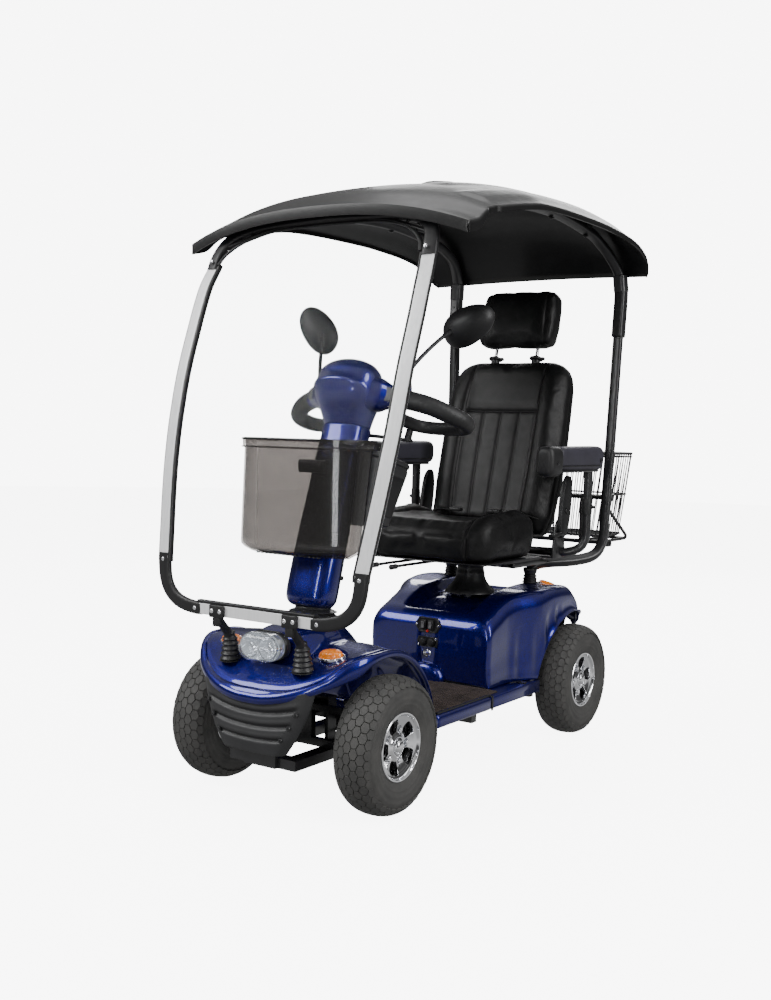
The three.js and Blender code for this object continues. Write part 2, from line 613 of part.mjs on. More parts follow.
// A delta grip: out from the head, round the rider's hand, and back under the dash.
const GRIP_R = 20;
const GRIP_PATH = [V(112, 42, 588), V(150, 58, 587), V(215, 92, 578), V(268, 138, 563), V(290, 182, 556),
  V(276, 218, 550), V(240, 234, 547), V(190, 234, 546), V(145, 222, 546), V(120, 196, 546), V(112, 150, 546),
  V(110, 100, 546), V(108, 84, 546)];
for (const [label, side] of SIDES) {
  const path = side > 0 ? GRIP_PATH : mirrorX(GRIP_PATH);
  add(`handlebar_${label}`, tube(path, GRIP_R, 20), SOFT_RUBBER, tiller);
}

function throttleLever() {
  const outline = [[-138, 118], [-20, 66], [20, 66], [138, 118], [138, 130], [20, 78], [-20, 78],
    [-138, 130]];
  const bar = slice(outline, 488, 495);
  const paddles = SIDES.map(([, side]) => box(side * 132 - 8, side * 132 + 8, 114, 130, 488, 518));
  return join(bar, ...paddles);
}
add('throttle_lever', throttleLever(), BLACK_PLASTIC, tiller);

const KEY_X = 38;
const key = join(rod(V(0, 0, GAP), V(0, 0, 8), 9, 12), box(-11, 11, -1.5, 1.5, 6, 30));
add('ignition_key', onDash(key), CHROME, tiller).position.copy(DASH_POINT).setX(KEY_X);
const dial = join(rod(V(0, 0, GAP), V(0, 0, 12), 15, 16), box(-3, 3, -14, 14, 10, 16));
add('speed_dial', onDash(dial), BLACK_PLASTIC, tiller).position.copy(DASH_POINT).setX(-KEY_X);

// A box with a hinged lid hangs on the rider's side of the column.
const BOX_HALF_W = 80;
const CASE = [[66, 258], [158, 262], [206, 420], [196, 432], [66, 432]];
const caseInside = sideSlice([[70, 264], [154, 268], [200, 422], [190, 440], [70, 440]],
  -BOX_HALF_W + 4, BOX_HALF_W - 4);
add('storage_box', cut(sideSlice(CASE, -BOX_HALF_W, BOX_HALF_W), caseInside), BLACK_PLASTIC, tiller);
const LID_HINGE = V(0, 70, 438);
const lid = sideSlice([[-3, -5], [137, -5], [141, 0], [134, 9], [0, 12], [-3, 6]], -BOX_HALF_W, BOX_HALF_W);
add('storage_lid', lid, BLACK_PLASTIC, tiller).position.copy(LID_HINGE);

// The front basket stands upright in front of the leaning column, so it is drawn outside the tiller group.
function frontBasket() {
  const level = (z, halfW, corner, middle, back, inset) => {
    const ring = [];
    for (let i = -4; i <= 4; i++) {
      const t = i / 4;
      const x = t * (halfW - inset);
      ring.push(V(x, middle + (corner - middle) * Math.abs(t) ** 2.4 + inset, z));
    }
    ring.push(V(halfW - inset, back - 18, z), V(halfW - 22, back - inset, z));
    ring.push(V(22 - halfW, back - inset, z), V(inset - halfW, back - 18, z));
    return ring;
  };
  const outer = loft([level(643, 178, -584, -628, -528, 0), level(905, 189, -562, -618, -502, 0),
    level(913, 192, -560, -621, -500, 0)]);
  const inner = loft([level(648, 178, -584, -628, -528, 4), level(920, 190, -562, -618, -500, 4)]);
  return cut(outer, inner);
}
add('front_basket', frontBasket(), SMOKED);

// A mirror: a thin stem from the handlebar's root and a drop-shaped housing facing the rider.
function mirror(side) {
  const bend = [V(0, 0, 0), V(side * 6, 6, 50), V(side * 45, 66, 112), V(side * 84, 120, 156)];
  const stem = tube(bend, 4.5, 8, 6);
  const levels = [[-28, 6, 4], [-24, 44, 26], [-6, 74, 46], [12, 82, 52], [22, 80, 50]];
  const tilt = side * THREE.MathUtils.degToRad(-24);
  const housing = loft(levels.map(([y, rx, rz]) => oval(rx, rz, 2.2, 12, (x, z) => V(x, y, z))))
    .rotateY(tilt).translate(side * 112, 128, 172);
  return join(stem, housing);
}
const MIRROR_FOOT = V(147, -297, 1072);
for (const [label, side] of SIDES) {
  add(`mirror_${label}`, mirror(side), BLACK_PLASTIC)
    .position.set(side * MIRROR_FOOT.x, MIRROR_FOOT.y, MIRROR_FOOT.z);
}

// ---- Seat ---------------------------------------------------------------------------------------------
const POST_TOP = SEAT_BASE_Z - 7;
const bootProfile = [[0, 0], [78, 0], [74, 10], [50, 40], [40, 70], [38, 107], [0, 107]];
const boot = new THREE.LatheGeometry(bootProfile.map(([r, h]) => new THREE.Vector2(r, h)), 16);
add('seat_post', boot.rotateX(Math.PI / 2), BLACK_PLASTIC).position.set(0, SEAT_Y, POST_TOP - 107);

const turntable = join(box(-200, 200, 183, 463, SEAT_BASE_Z, SEAT_BASE_Z + 7),
  rod(V(0, SEAT_Y, POST_TOP + GAP), V(0, SEAT_Y, SEAT_BASE_Z + 2), 60, 20));
add('seat_swivel', turntable, BLACK_STEEL);

// The sliding pan carries the hinge plates of the back and the bent tube that holds both armrests.
const PAN_Z = [SEAT_BASE_Z + 8, SEAT_BASE_Z + 15];
const ARM_X = 319;
const ARM_Y = 486;
const ARM_TOP = 848;
function seatPan() {
  const arm = [V(ARM_X, ARM_Y, ARM_TOP), V(ARM_X, ARM_Y, 760), V(ARM_X, ARM_Y, 650), V(309, 480, 612),
    V(280, 466, 590), V(235, 456, 583), V(80, 455, 582)];
  const pieces = [
    box(-212, 212, 25, 426, ...PAN_Z),
    box(-250, 250, 398, 462, ...PAN_Z),
    tube([...arm, ...mirrorX(arm).reverse()], 13, 30),
  ];
  for (const [, side] of SIDES) {
    pieces.push(box(side * 247 - 3, side * 247 + 3, 398, 478, PAN_Z[0], 690));
  }
  return join(...pieces);
}
add('seat_pan', seatPan(), BLACK_STEEL);

const CUSHION_BACK = 370;
const cushionMiddle = CUSHION_BACK / 2;
const cushionLevels = [[PAN_Z[1] + GAP, 200, 165], [588, 222, 180], [620, 236, 185], [660, 240, 185],
  [684, 228, 176], [694, 190, 150]];
const cushion = stack(cushionLevels.map(([z, rx, ry]) => [z, rx, ry, cushionMiddle]), 5, 20);
add('seat_cushion', cushion, LEATHERETTE);

const back = new THREE.Group();
back.position.copy(BACK_PIVOT);
back.rotation.x = -BACK_LEAN;
scooter.add(back);

const HEAD_POST = { x: 76, y: -12, low: 455, top: 625, radius: 5.5 };
function seatBack() {
  const body = stack([[-10, 196, 44, 0], [14, 222, 54, 0], [150, 236, 57, 0], [320, 238, 57, 0],
    [450, 230, 54, 0], [520, 206, 48, 0], [558, 160, 38, 0], [574, 110, 26, 0]], 4, 20);
  const bores = SIDES.map(([, side]) => rod(V(side * HEAD_POST.x, HEAD_POST.y, HEAD_POST.low - 5),
    V(side * HEAD_POST.x, HEAD_POST.y, 640), HEAD_POST.radius + 1.5, 12));
  return cut(body, ...bores);
}
add('seat_back', seatBack(), LEATHERETTE, back);

function headrest() {
  const pad = stack([[613, 104, 24, -21], [622, 128, 38, -21], [660, 143, 45, -21], [740, 140, 45, -21],
    [790, 126, 38, -21], [805, 100, 24, -21]], 3.4, 20);
  const posts = SIDES.map(([, side]) => rod(V(side * HEAD_POST.x, HEAD_POST.y, HEAD_POST.low),
    V(side * HEAD_POST.x, HEAD_POST.y, HEAD_POST.top), HEAD_POST.radius, 10));
  return join(pad, ...posts);
}
add('headrest', headrest(), LEATHERETTE, back);

// An armrest pad hinged just behind the top of its post, deeper at the front where the hand closes round it.
const ARM_PIVOT = V(315, 520, 880);
function armrest() {
  return sideSlice([[-340, -54], [-337, -68], [-277, -68], [-265, -30], [20, -30], [30, -18], [30, 32],
    [20, 41], [-325, 41], [-340, 28]], -30, 30);
}
for (const [label, side] of SIDES) {
  add(`armrest_${label}`, armrest(), GREY_PLASTIC).position.set(side * ARM_PIVOT.x, ARM_PIVOT.y, ARM_PIVOT.z);
}

// Two levers reach forward under the front edge of the cushion.
const lever = (x) => join(box(x - 6, x + 6, -22, 226, 549, 555), rod(V(x, -34, 552), V(x, -6, 552), 8, 10));
add('swivel_lever', lever(-52), BLACK_STEEL);
add('slide_lever', lever(-120), BLACK_STEEL);

// ---- Origin under the middle of the whole scooter -----------------------------------------------------
scooter.position.y = -(BOX_FRONT_Y + BOX_REAR_Y) / 2;

export default scooter;
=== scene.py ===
"""The looks of a four-wheeled mobility scooter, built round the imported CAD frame.

Lengths are millimetres until a piece is built. As in the CAD source, x = 0 is the middle, +X is the
rider's left, -Y is forwards, z = 0 is the floor, and y = 0 is halfway between the axles.
"""
import json
import math
import bmesh
import bpy
import numpy as np
from mathutils import Matrix, Vector


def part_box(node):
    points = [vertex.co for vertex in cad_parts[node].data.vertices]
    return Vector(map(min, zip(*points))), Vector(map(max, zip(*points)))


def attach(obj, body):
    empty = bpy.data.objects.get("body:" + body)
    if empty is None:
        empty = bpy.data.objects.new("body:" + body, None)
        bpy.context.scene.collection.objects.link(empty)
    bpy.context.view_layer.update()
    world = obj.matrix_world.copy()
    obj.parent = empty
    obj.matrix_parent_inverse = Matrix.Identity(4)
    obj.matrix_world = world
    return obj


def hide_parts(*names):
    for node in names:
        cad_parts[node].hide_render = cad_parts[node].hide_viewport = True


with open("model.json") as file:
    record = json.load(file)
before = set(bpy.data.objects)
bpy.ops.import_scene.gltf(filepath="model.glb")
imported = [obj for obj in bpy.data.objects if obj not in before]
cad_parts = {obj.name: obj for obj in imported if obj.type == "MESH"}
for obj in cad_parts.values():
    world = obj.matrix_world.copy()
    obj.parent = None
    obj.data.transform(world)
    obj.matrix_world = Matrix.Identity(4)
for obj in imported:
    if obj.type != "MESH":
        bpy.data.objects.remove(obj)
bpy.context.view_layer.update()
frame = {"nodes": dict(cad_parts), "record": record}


def middle(node):
    """The centre of a CAD node, in millimetres."""
    low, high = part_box(node)
    return (low + high) / 2 * 1000


FRONT_HUB = middle("tyre_front_left")
REAR_HUB = middle("tyre_rear_left")
MID_Y = (FRONT_HUB.y + REAR_HUB.y) / 2
FRONT_Y = FRONT_HUB.y - MID_Y
REAR_Y = REAR_HUB.y - MID_Y
TRACK_X = FRONT_HUB.x
TYRE_R = FRONT_HUB.z
ARCH_R = 217
BODY_W = 264
STEER_Y = -498
SIDES = (("left", 1), ("right", -1))
TAU = 2 * math.pi


class Place:
    """A leaning group: its own axes turn about X by the lean and start at the origin point."""

    def __init__(self, origin=(0, 0, 0), lean=0.0):
        self.origin = np.array(origin, float)
        c, s = math.cos(math.radians(lean)), math.sin(math.radians(lean))
        self.turn = np.array([[1, 0, 0], [0, c, -s], [0, s, c]])

    def at(self, points):
        return np.asarray(points, float).reshape(-1, 3) @ self.turn + self.origin


UPRIGHT = Place()
TILLER = Place((0, STEER_Y, 475), 12.7)
BACK = Place((0, 443, 640), 15)


# ---- Curves and tables ---------------------------------------------------------------------------------
def smooth_step(low, high, value):
    """A share from 0 to 1 that eases in and out between two values."""
    t = np.clip((np.asarray(value, float) - low) / (high - low), 0, 1)
    return t * t * (3 - 2 * t)


def reading(table, at):
    """Smooth reading of a table of (position, value...) rows, by cubic pieces that never overshoot."""
    table = np.asarray(table, float)
    x, y = table[:, 0], table[:, 1:]
    slope = np.diff(y, axis=0) / np.diff(x)[:, None]
    tangent = np.zeros_like(y)
    before, after = slope[:-1], slope[1:]
    total = before + after
    same = before * after > 0
    tangent[1:-1][same] = (2 * before * after)[same] / total[same]
    tangent[0], tangent[-1] = slope[0], slope[-1]
    at = np.clip(np.atleast_1d(np.asarray(at, float)), x[0], x[-1])
    i = np.clip(np.searchsorted(x, at, side="right") - 1, 0, len(x) - 2)
    h = (x[i + 1] - x[i])[:, None]
    t = ((at - x[i]) / h[:, 0])[:, None]
    found = ((2 * t**3 - 3 * t**2 + 1) * y[i] + (t**3 - 2 * t**2 + t) * h * tangent[i]
             + (3 * t**2 - 2 * t**3) * y[i + 1] + (t**3 - t**2) * h * tangent[i + 1])
    return found[:, 0] if found.shape[1] == 1 else found


def curve(points, count, closed=False):
    """Points at even steps along a smooth curve through the given ones."""
    p = np.asarray(points, float)
    p = np.vstack([p[-1], p, p[:2]]) if closed else np.vstack([2 * p[0] - p[1], p, 2 * p[-1] - p[-2]])
    fine = []
    for a, b, c, d in zip(p[:-3], p[1:-2], p[2:-1], p[3:]):
        for t in np.linspace(0, 1, 24, endpoint=False):
            fine.append(0.5 * (2 * b + (c - a) * t + (2 * a - 5 * b + 4 * c - d) * t * t
                               + (3 * b - a - 3 * c + d) * t**3))
    fine.append(p[-2])
    return even(fine, count, closed)


def even(points, count, closed=False):
    """Points at even steps along straight pieces through the given ones."""
    p = np.asarray(points, float)
    run = np.concatenate([[0], np.cumsum(np.linalg.norm(np.diff(p, axis=0), axis=1))])
    at = np.linspace(0, run[-1], count + 1 if closed else count)[:count]
    return np.stack([np.interp(at, run, p[:, k]) for k in range(3)], axis=1)


def oval(rx, ry, power=2.0, sides=32, start=0.5):
    """A ring in the plane: power 2 is an ellipse and a higher power is squarer."""
    a = (np.arange(sides) + start) / sides * TAU
    c, s = np.cos(a), np.sin(a)
    return np.stack([rx * np.sign(c) * np.abs(c) ** (2 / power),
                     ry * np.sign(s) * np.abs(s) ** (2 / power)], axis=1)


def mirrored(points, side):
    """The same points on the given side, 1 for the left and -1 for the right."""
    return np.asarray(points, float) * [side, 1, 1]


def lathe_rows(profile, centre, axis, sides):
    """Rings of points, one for each (radius, distance) of a profile turned about an axis."""
    turns = np.arange(sides) / sides * TAU
    rows = []
    for r, d in profile:
        u, v = r * np.cos(turns), r * np.sin(turns)
        w = np.full(sides, float(d))
        rows.append({"x": (w, u, v), "y": (u, w, -v), "z": (u, v, w)}[axis])
    return np.transpose(np.array(rows), (0, 2, 1)) + np.asarray(centre, float)


# ---- Mesh building -------------------------------------------------------------------------------------
class Part:
    """Points and faces in millimetres, gathered from several shapes into one object."""

    def __init__(self, place=UPRIGHT):
        self.points = []
        self.faces = []
        self.place = place

    def add(self, points, faces):
        first = len(self.points)
        self.points += [tuple(p) for p in np.asarray(points, float).reshape(-1, 3)]
        self.faces += [tuple(first + i for i in face) for face in faces]
        return self

    def grid(self, rows, round_rows=False, caps=False, close_columns=False):
        """A skin over equal rows of points. Rows can be rings, with a cap at each end."""
        rows = np.asarray(rows, float)
        m, n = rows.shape[:2]
        faces = []
        for j in range(m if close_columns else m - 1):
            below, above = j * n, (j + 1) % m * n
            for i in range(n if round_rows else n - 1):
                k = (i + 1) % n
                faces.append((below + i, below + k, above + k, above + i))
        if caps:
            faces.append(tuple(range(n))[::-1])
            faces.append(tuple(range((m - 1) * n, m * n)))
        return self.add(rows, faces)

    def sheet(self, rows, thick, side=1):
        """A closed sheet of even thickness over rows of points, thickened to one side."""
        rows = np.asarray(rows, float)
        along = np.gradient(rows, axis=0)
        across = np.gradient(rows, axis=1)
        normal = np.cross(across, along)
        length = np.linalg.norm(normal, axis=2, keepdims=True)
        normal = np.where(length > 1e-9, normal / np.maximum(length, 1e-9), [0, 0, 1])
        under = rows - normal * thick * side
        m, n = rows.shape[:2]
        points = np.concatenate([rows.reshape(-1, 3), under.reshape(-1, 3)])
        half = m * n
        faces = []
        for j in range(m - 1):
            for i in range(n - 1):
                a = j * n + i
                faces.append((a, a + 1, a + n + 1, a + n))
                faces.append((half + a, half + a + n, half + a + n + 1, half + a + 1))
        rim = ([i for i in range(n - 1)] + [j * n + n - 1 for j in range(m - 1)]
               + [m * n - 1 - i for i in range(n - 1)] + [(m - 1 - j) * n for j in range(m - 1)])
        for a, b in zip(rim, rim[1:] + rim[:1]):
            faces.append((b, a, half + a, half + b))
        return self.add(points, faces)

    def tube(self, path, radius, sides=16, section=None, closed=False, up=None, rounded=True):
        """A tube along a path. radius is a number or one for each point; section is a ring of unit size."""
        path = np.asarray(path, float)
        count = len(path)
        radius = np.broadcast_to(np.asarray(radius, float), (count,))
        ring = oval(1, 1, sides=sides) if section is None else np.asarray(section, float)
        ahead = np.roll(path, -1, axis=0) - np.roll(path, 1, axis=0) if closed else np.gradient(path, axis=0)
        ahead /= np.linalg.norm(ahead, axis=1, keepdims=True)
        if up is None:
            up = [0, 0, 1] if abs(ahead[0][2]) < 0.9 else [1, 0, 0]
        side = np.cross(ahead[0], np.asarray(up, float))
        rings = []
        for k in range(count):
            side = side - ahead[k] * np.dot(side, ahead[k])
            side /= np.linalg.norm(side)
            rise = np.cross(side, ahead[k])
            rings.append(path[k] + radius[k] * (ring[:, :1] * side + ring[:, 1:] * rise))
        if not closed and rounded:
            soft = min(radius[0], radius[-1]) * 0.16
            first = path[0] + (rings[0] - path[0]) * 0.8 - ahead[0] * soft
            last = path[-1] + (rings[-1] - path[-1]) * 0.8 + ahead[-1] * soft
            rings = [first, *rings, last]
        return self.grid(rings, round_rows=True, caps=not closed, close_columns=closed)

    def turned(self, profile, centre=(0, 0, 0), axis="x", sides=48):
        """A profile of (radius, distance along the axis) points, turned about an axis through the centre."""
        return self.grid(lathe_rows(profile, centre, axis, sides), round_rows=True, caps=True)

    def ring(self, profile, centre=(0, 0, 0), axis="x", sides=96):
        """A closed profile of (radius, distance along the axis) points, turned into a ring."""
        return self.grid(lathe_rows(profile, centre, axis, sides), round_rows=True, close_columns=True)

    def block(self, x, y, z, corner=3.0, steps=3, turn=None, centre=None):
        """A box with rounded upright corners and softened edges, turned by a matrix about its centre."""
        (x0, x1), (y0, y1), (z0, z1) = x, y, z
        corner = min(corner, (x1 - x0) / 2.01, (y1 - y0) / 2.01)
        soft = min(corner * 0.6, (z1 - z0) / 2.01)
        rings = []
        for inset, height in [(soft, z0), (soft * 0.3, z0 + soft * 0.3), (0, z0 + soft),
                              (0, z1 - soft), (soft * 0.3, z1 - soft * 0.3), (soft, z1)]:
            ring = []
            r = max(corner - inset, 0.05)
            for k, (cx, cy) in enumerate(((x1, y1), (x0, y1), (x0, y0), (x1, y0))):
                sx, sy = (1 if cx == x1 else -1), (1 if cy == y1 else -1)
                for q in range(steps + 1):
                    a = (k + q / steps) * TAU / 4
                    ring.append([cx - sx * (inset + r) + r * math.cos(a),
                                 cy - sy * (inset + r) + r * math.sin(a), height])
            rings.append(ring)
        rings = np.array(rings)
        if turn is not None:
            pivot = np.array(centre if centre is not None else [(x0 + x1) / 2, (y0 + y1) / 2, (z0 + z1) / 2])
            rings = (rings - pivot) @ np.asarray(turn).T + pivot
        return self.grid(rings, round_rows=True, caps=True)

    def bolt(self, centre, axis, radius=6.0, height=4.0, domed=True):
        """A round-headed bolt with a washer, standing on a surface along an axis."""
        axis = np.asarray(axis, float)
        axis /= np.linalg.norm(axis)
        side = np.cross(axis, [0, 0, 1] if abs(axis[2]) < 0.9 else [1, 0, 0])
        side /= np.linalg.norm(side)
        rise = np.cross(axis, side)
        ring = oval(1, 1, sides=16)
        profile = [(1.25, -1), (1.25, 0.8), (1.0, 0.9), (1.0, height * 0.6), (0.7, height), (0.32, height),
                   (0.3, height * 0.5)]
        if not domed:
            profile = profile[:4] + [(0.9, height * 0.75)]
        rows = [np.asarray(centre, float) + axis * d + radius * r * (ring[:, :1] * side + ring[:, 1:] * rise)
                for r, d in profile]
        return self.grid(rows, round_rows=True, caps=True)

    def build(self, name, body, finish, replaces=(), bevel=0, subdivide=0, flat=False, sharp=40):
        """Makes the object, in metres, and lets it ride on its body."""
        points = (self.place.at(self.points) + [0, MID_Y, 0]) * 0.001
        mesh = bpy.data.meshes.new(name)
        mesh.from_pydata(points.tolist(), [], self.faces)
        tidy_mesh(mesh)
        obj = bpy.data.objects.new(name, mesh)
        bpy.context.scene.collection.objects.link(obj)
        if subdivide:
            change(obj, "SUBSURF", levels=subdivide, render_levels=subdivide)
        if bevel:
            change(obj, "BEVEL", width=bevel * 0.001, segments=2, limit_method="ANGLE",
                   angle_limit=math.radians(35))
        return settle(obj, body, finish, replaces, flat, sharp)


def tidy_mesh(mesh):
    """Joins points that coincide and turns every face outwards."""
    work = bmesh.new()
    work.from_mesh(mesh)
    bmesh.ops.remove_doubles(work, verts=work.verts, dist=0.00002)
    bmesh.ops.dissolve_degenerate(work, edges=work.edges, dist=0.00001)
    bmesh.ops.recalc_face_normals(work, faces=work.faces)
    work.to_mesh(mesh)
    work.free()


def change(obj, kind, **values):
    """Adds a modifier and applies it."""
    modifier = obj.modifiers.new(kind.lower(), kind)
    for key, value in values.items():
        setattr(modifier, key, value)
    apply_all(obj)


def apply_all(obj):
    """Applies the modifiers of an object."""
    seen = bpy.context.evaluated_depsgraph_get()
    mesh = bpy.data.meshes.new_from_object(obj.evaluated_get(seen))
    old = obj.data
    obj.modifiers.clear()
    obj.data = mesh
    bpy.data.meshes.remove(old)


def cut(obj, tool):
    """Takes the tool's shape out of the object and deletes the tool."""
    modifier = obj.modifiers.new("cut", "BOOLEAN")
    modifier.object = tool
    modifier.operation = "DIFFERENCE"
    modifier.solver = "EXACT"
    apply_all(obj)
    bpy.data.objects.remove(tool)


def bare(part, name):
    """The part as a loose object, for cutting with."""
    points = (part.place.at(part.points) + [0, MID_Y, 0]) * 0.001
    mesh = bpy.data.meshes.new(name)
    mesh.from_pydata(points.tolist(), [], part.faces)
    tidy_mesh(mesh)
    obj = bpy.data.objects.new(name, mesh)
    bpy.context.scene.collection.objects.link(obj)
    return obj


def settle(obj, body, finish, replaces=(), flat=False, sharp=40):
    """Shading, material, slot and body of a finished piece."""
    mesh = obj.data
    mesh.materials.clear()
    mesh.materials.append(finish)
    mesh.polygons.foreach_set("use_smooth", [not flat] * len(mesh.polygons))
    if not flat:
        mesh.set_sharp_from_angle(angle=math.radians(sharp))
    mesh.update()
    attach(obj, body)
    if replaces:
        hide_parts(*replaces)
    return obj


# ---- Materials -----------------------------------------------------------------------------------------
class Finish:
    """A procedural material: a Principled shader with noise in its colour, roughness and surface."""

    def __init__(self, name, colour, roughness, **inputs):
        self.material = bpy.data.materials.new(name)
        self.material.use_nodes = True
        self.tree = self.material.node_tree
        self.shader = self.tree.nodes["Principled BSDF"]
        self.colour = self.shader.inputs["Base Color"]
        self.colour.default_value = (*colour, 1)
        self.shader.inputs["Roughness"].default_value = roughness
        for key, value in inputs.items():
            self.shader.inputs[key.replace("_", " ")].default_value = value
        self.place = self.node("ShaderNodeTexCoord").outputs["Object"]
        self.height = None

    def node(self, kind, **values):
        made = self.tree.nodes.new(kind)
        for key, value in values.items():
            if key in made.inputs:
                made.inputs[key].default_value = value
            else:
                setattr(made, key, value)
        return made

    def link(self, a, b):
        self.tree.links.new(a, b)

    def noise(self, scale, detail=3.0, stretch=None):
        vector = self.place
        if stretch:
            mapping = self.node("ShaderNodeMapping")
            mapping.inputs["Scale"].default_value = stretch
            self.link(vector, mapping.inputs["Vector"])
            vector = mapping.outputs["Vector"]
        made = self.node("ShaderNodeTexNoise", Scale=scale, Detail=detail)
        self.link(vector, made.inputs["Vector"])
        return made.outputs["Fac"]

    def cells(self, scale, feature="F1", distance=None):
        made = self.node("ShaderNodeTexVoronoi", feature=feature)
        made.inputs["Scale"].default_value = scale
        self.link(self.place, made.inputs["Vector"])
        return made.outputs[distance or "Distance"]

    def spread(self, source, low, high, target):
        """Sends the source, spread between two values, to an input."""
        made = self.node("ShaderNodeMapRange")
        made.inputs["To Min"].default_value = low
        made.inputs["To Max"].default_value = high
        self.link(source, made.inputs["Value"])
        self.link(made.outputs["Result"], target)
        return self

    def tint(self, source, first, second, low=0.3, high=0.7):
        made = self.node("ShaderNodeValToRGB")
        made.color_ramp.elements[0].position = low
        made.color_ramp.elements[0].color = (*first, 1)
        made.color_ramp.elements[1].position = high
        made.color_ramp.elements[1].color = (*second, 1)
        self.link(source, made.inputs["Fac"])
        self.link(made.outputs["Color"], self.colour)
        return self

    def bump(self, source, strength, distance=0.001, invert=False):
        made = self.node("ShaderNodeBump", Strength=strength, Distance=distance, invert=invert)
        self.link(source, made.inputs["Height"])
        if self.height is not None:
            self.link(self.height, made.inputs["Normal"])
        self.height = made.outputs["Normal"]
        self.link(self.height, self.shader.inputs["Normal"])
        return self


def moulded(name, colour, roughness, grain=0.12, scale=900, **inputs):
    """Moulded plastic: a fine spark-eroded grain and slightly uneven gloss."""
    f = Finish(name, colour, roughness, **inputs)
    f.tint(f.noise(14), [c * 0.86 for c in colour], [min(1, c * 1.14) for c in colour])
    f.spread(f.noise(30), roughness - 0.06, roughness + 0.08, f.shader.inputs["Roughness"])
    f.bump(f.noise(scale, 2), grain, 0.0006)
    return f.material


def painted():
    """Metallic blue lacquer: flakes that catch the light under a deep clear coat."""
    f = Finish("blue_lacquer", (0.002, 0.004, 0.10), 0.3, Metallic=0.8, Coat_Weight=1.0, Coat_Roughness=0.02)
    flake = f.cells(1500, distance="Color")
    spark = f.node("ShaderNodeSeparateColor")
    f.link(flake, spark.inputs["Color"])
    f.tint(spark.outputs["Red"], (0.0006, 0.0008, 0.050), (0.0014, 0.0028, 0.27), 0.1, 0.95)
    f.spread(spark.outputs["Green"], 0.24, 0.44, f.shader.inputs["Roughness"])
    peel = f.node("ShaderNodeBump", Strength=0.03, Distance=0.0006)
    f.link(f.noise(160, 1), peel.inputs["Height"])
    f.link(peel.outputs["Normal"], f.shader.inputs["Coat Normal"])
    return f.material


def coated_steel():
    """Black powder coat over steel tube."""
    f = Finish("powder_coated_steel", (0.012, 0.012, 0.013), 0.34, Metallic=0.0, Coat_Weight=0.25,
               Coat_Roughness=0.2)
    f.tint(f.noise(20), (0.010, 0.010, 0.011), (0.018, 0.018, 0.020))
    f.spread(f.noise(60), 0.28, 0.42, f.shader.inputs["Roughness"])
    f.bump(f.noise(700, 2), 0.12, 0.0006)
    return f.material


def rubber(name, colour, roughness, dusty):
    """Matt rubber whose tint drifts between two close greys."""
    f = Finish(name, colour, roughness)
    f.tint(f.noise(22, 5), colour, dusty, 0.35, 0.8)
    f.spread(f.noise(80), roughness - 0.1, roughness + 0.08, f.shader.inputs["Roughness"])
    f.bump(f.noise(1200, 2), 0.2, 0.0005)
    return f.material


def plated():
    """Chrome with the faint wipe marks of a polished wheel."""
    f = Finish("chrome_plate", (0.86, 0.87, 0.89), 0.06, Metallic=1.0)
    f.spread(f.noise(24, 4), 0.035, 0.12, f.shader.inputs["Roughness"])
    f.tint(f.noise(9), (0.80, 0.81, 0.84), (0.93, 0.93, 0.94))
    return f.material


def anodised():
    """Silver anodised extrusion with fine drawn lines along the rail."""
    f = Finish("anodised_rail", (0.90, 0.90, 0.91), 0.34, Metallic=0.12)
    f.tint(f.noise(160, 2, (1, 1, 0.02)), (0.84, 0.85, 0.86), (0.95, 0.95, 0.96))
    f.spread(f.noise(260, 2, (1, 1, 0.02)), 0.28, 0.42, f.shader.inputs["Roughness"])
    f.bump(f.noise(420, 2, (1, 1, 0.02)), 0.06, 0.0004)
    return f.material


def leather():
    """Black leatherette: a pebbled grain of small cells with soft creases."""
    f = Finish("black_leatherette", (0.016, 0.016, 0.017), 0.42, Specular_IOR_Level=0.26, Coat_Weight=0.03,
               Coat_Roughness=0.3)
    f.tint(f.noise(18, 4), (0.0035, 0.0035, 0.0038), (0.0075, 0.0073, 0.0076))
    f.spread(f.noise(45, 3), 0.33, 0.52, f.shader.inputs["Roughness"])
    f.bump(f.cells(620, "DISTANCE_TO_EDGE"), 0.35, 0.0009)
    f.bump(f.noise(70, 3), 0.12, 0.002)
    return f.material


def tail_lens():
    """Deep red lens over a faceted reflector."""
    f = Finish("red_lens", (0.45, 0.01, 0.008), 0.12, Transmission_Weight=0.15, Coat_Weight=1.0)
    f.tint(f.noise(90, 2), (0.34, 0.005, 0.004), (0.62, 0.02, 0.012))
    f.bump(f.cells(300), 0.5, 0.001)
    return f.material


def matting():
    """Brown-black rubber mat with worn, dusty tops."""
    f = Finish("brown_mat", (0.035, 0.024, 0.020), 0.8)
    f.tint(f.noise(26, 5), (0.022, 0.015, 0.012), (0.060, 0.042, 0.035))
    f.bump(f.noise(500, 3), 0.3, 0.0008)
    return f.material


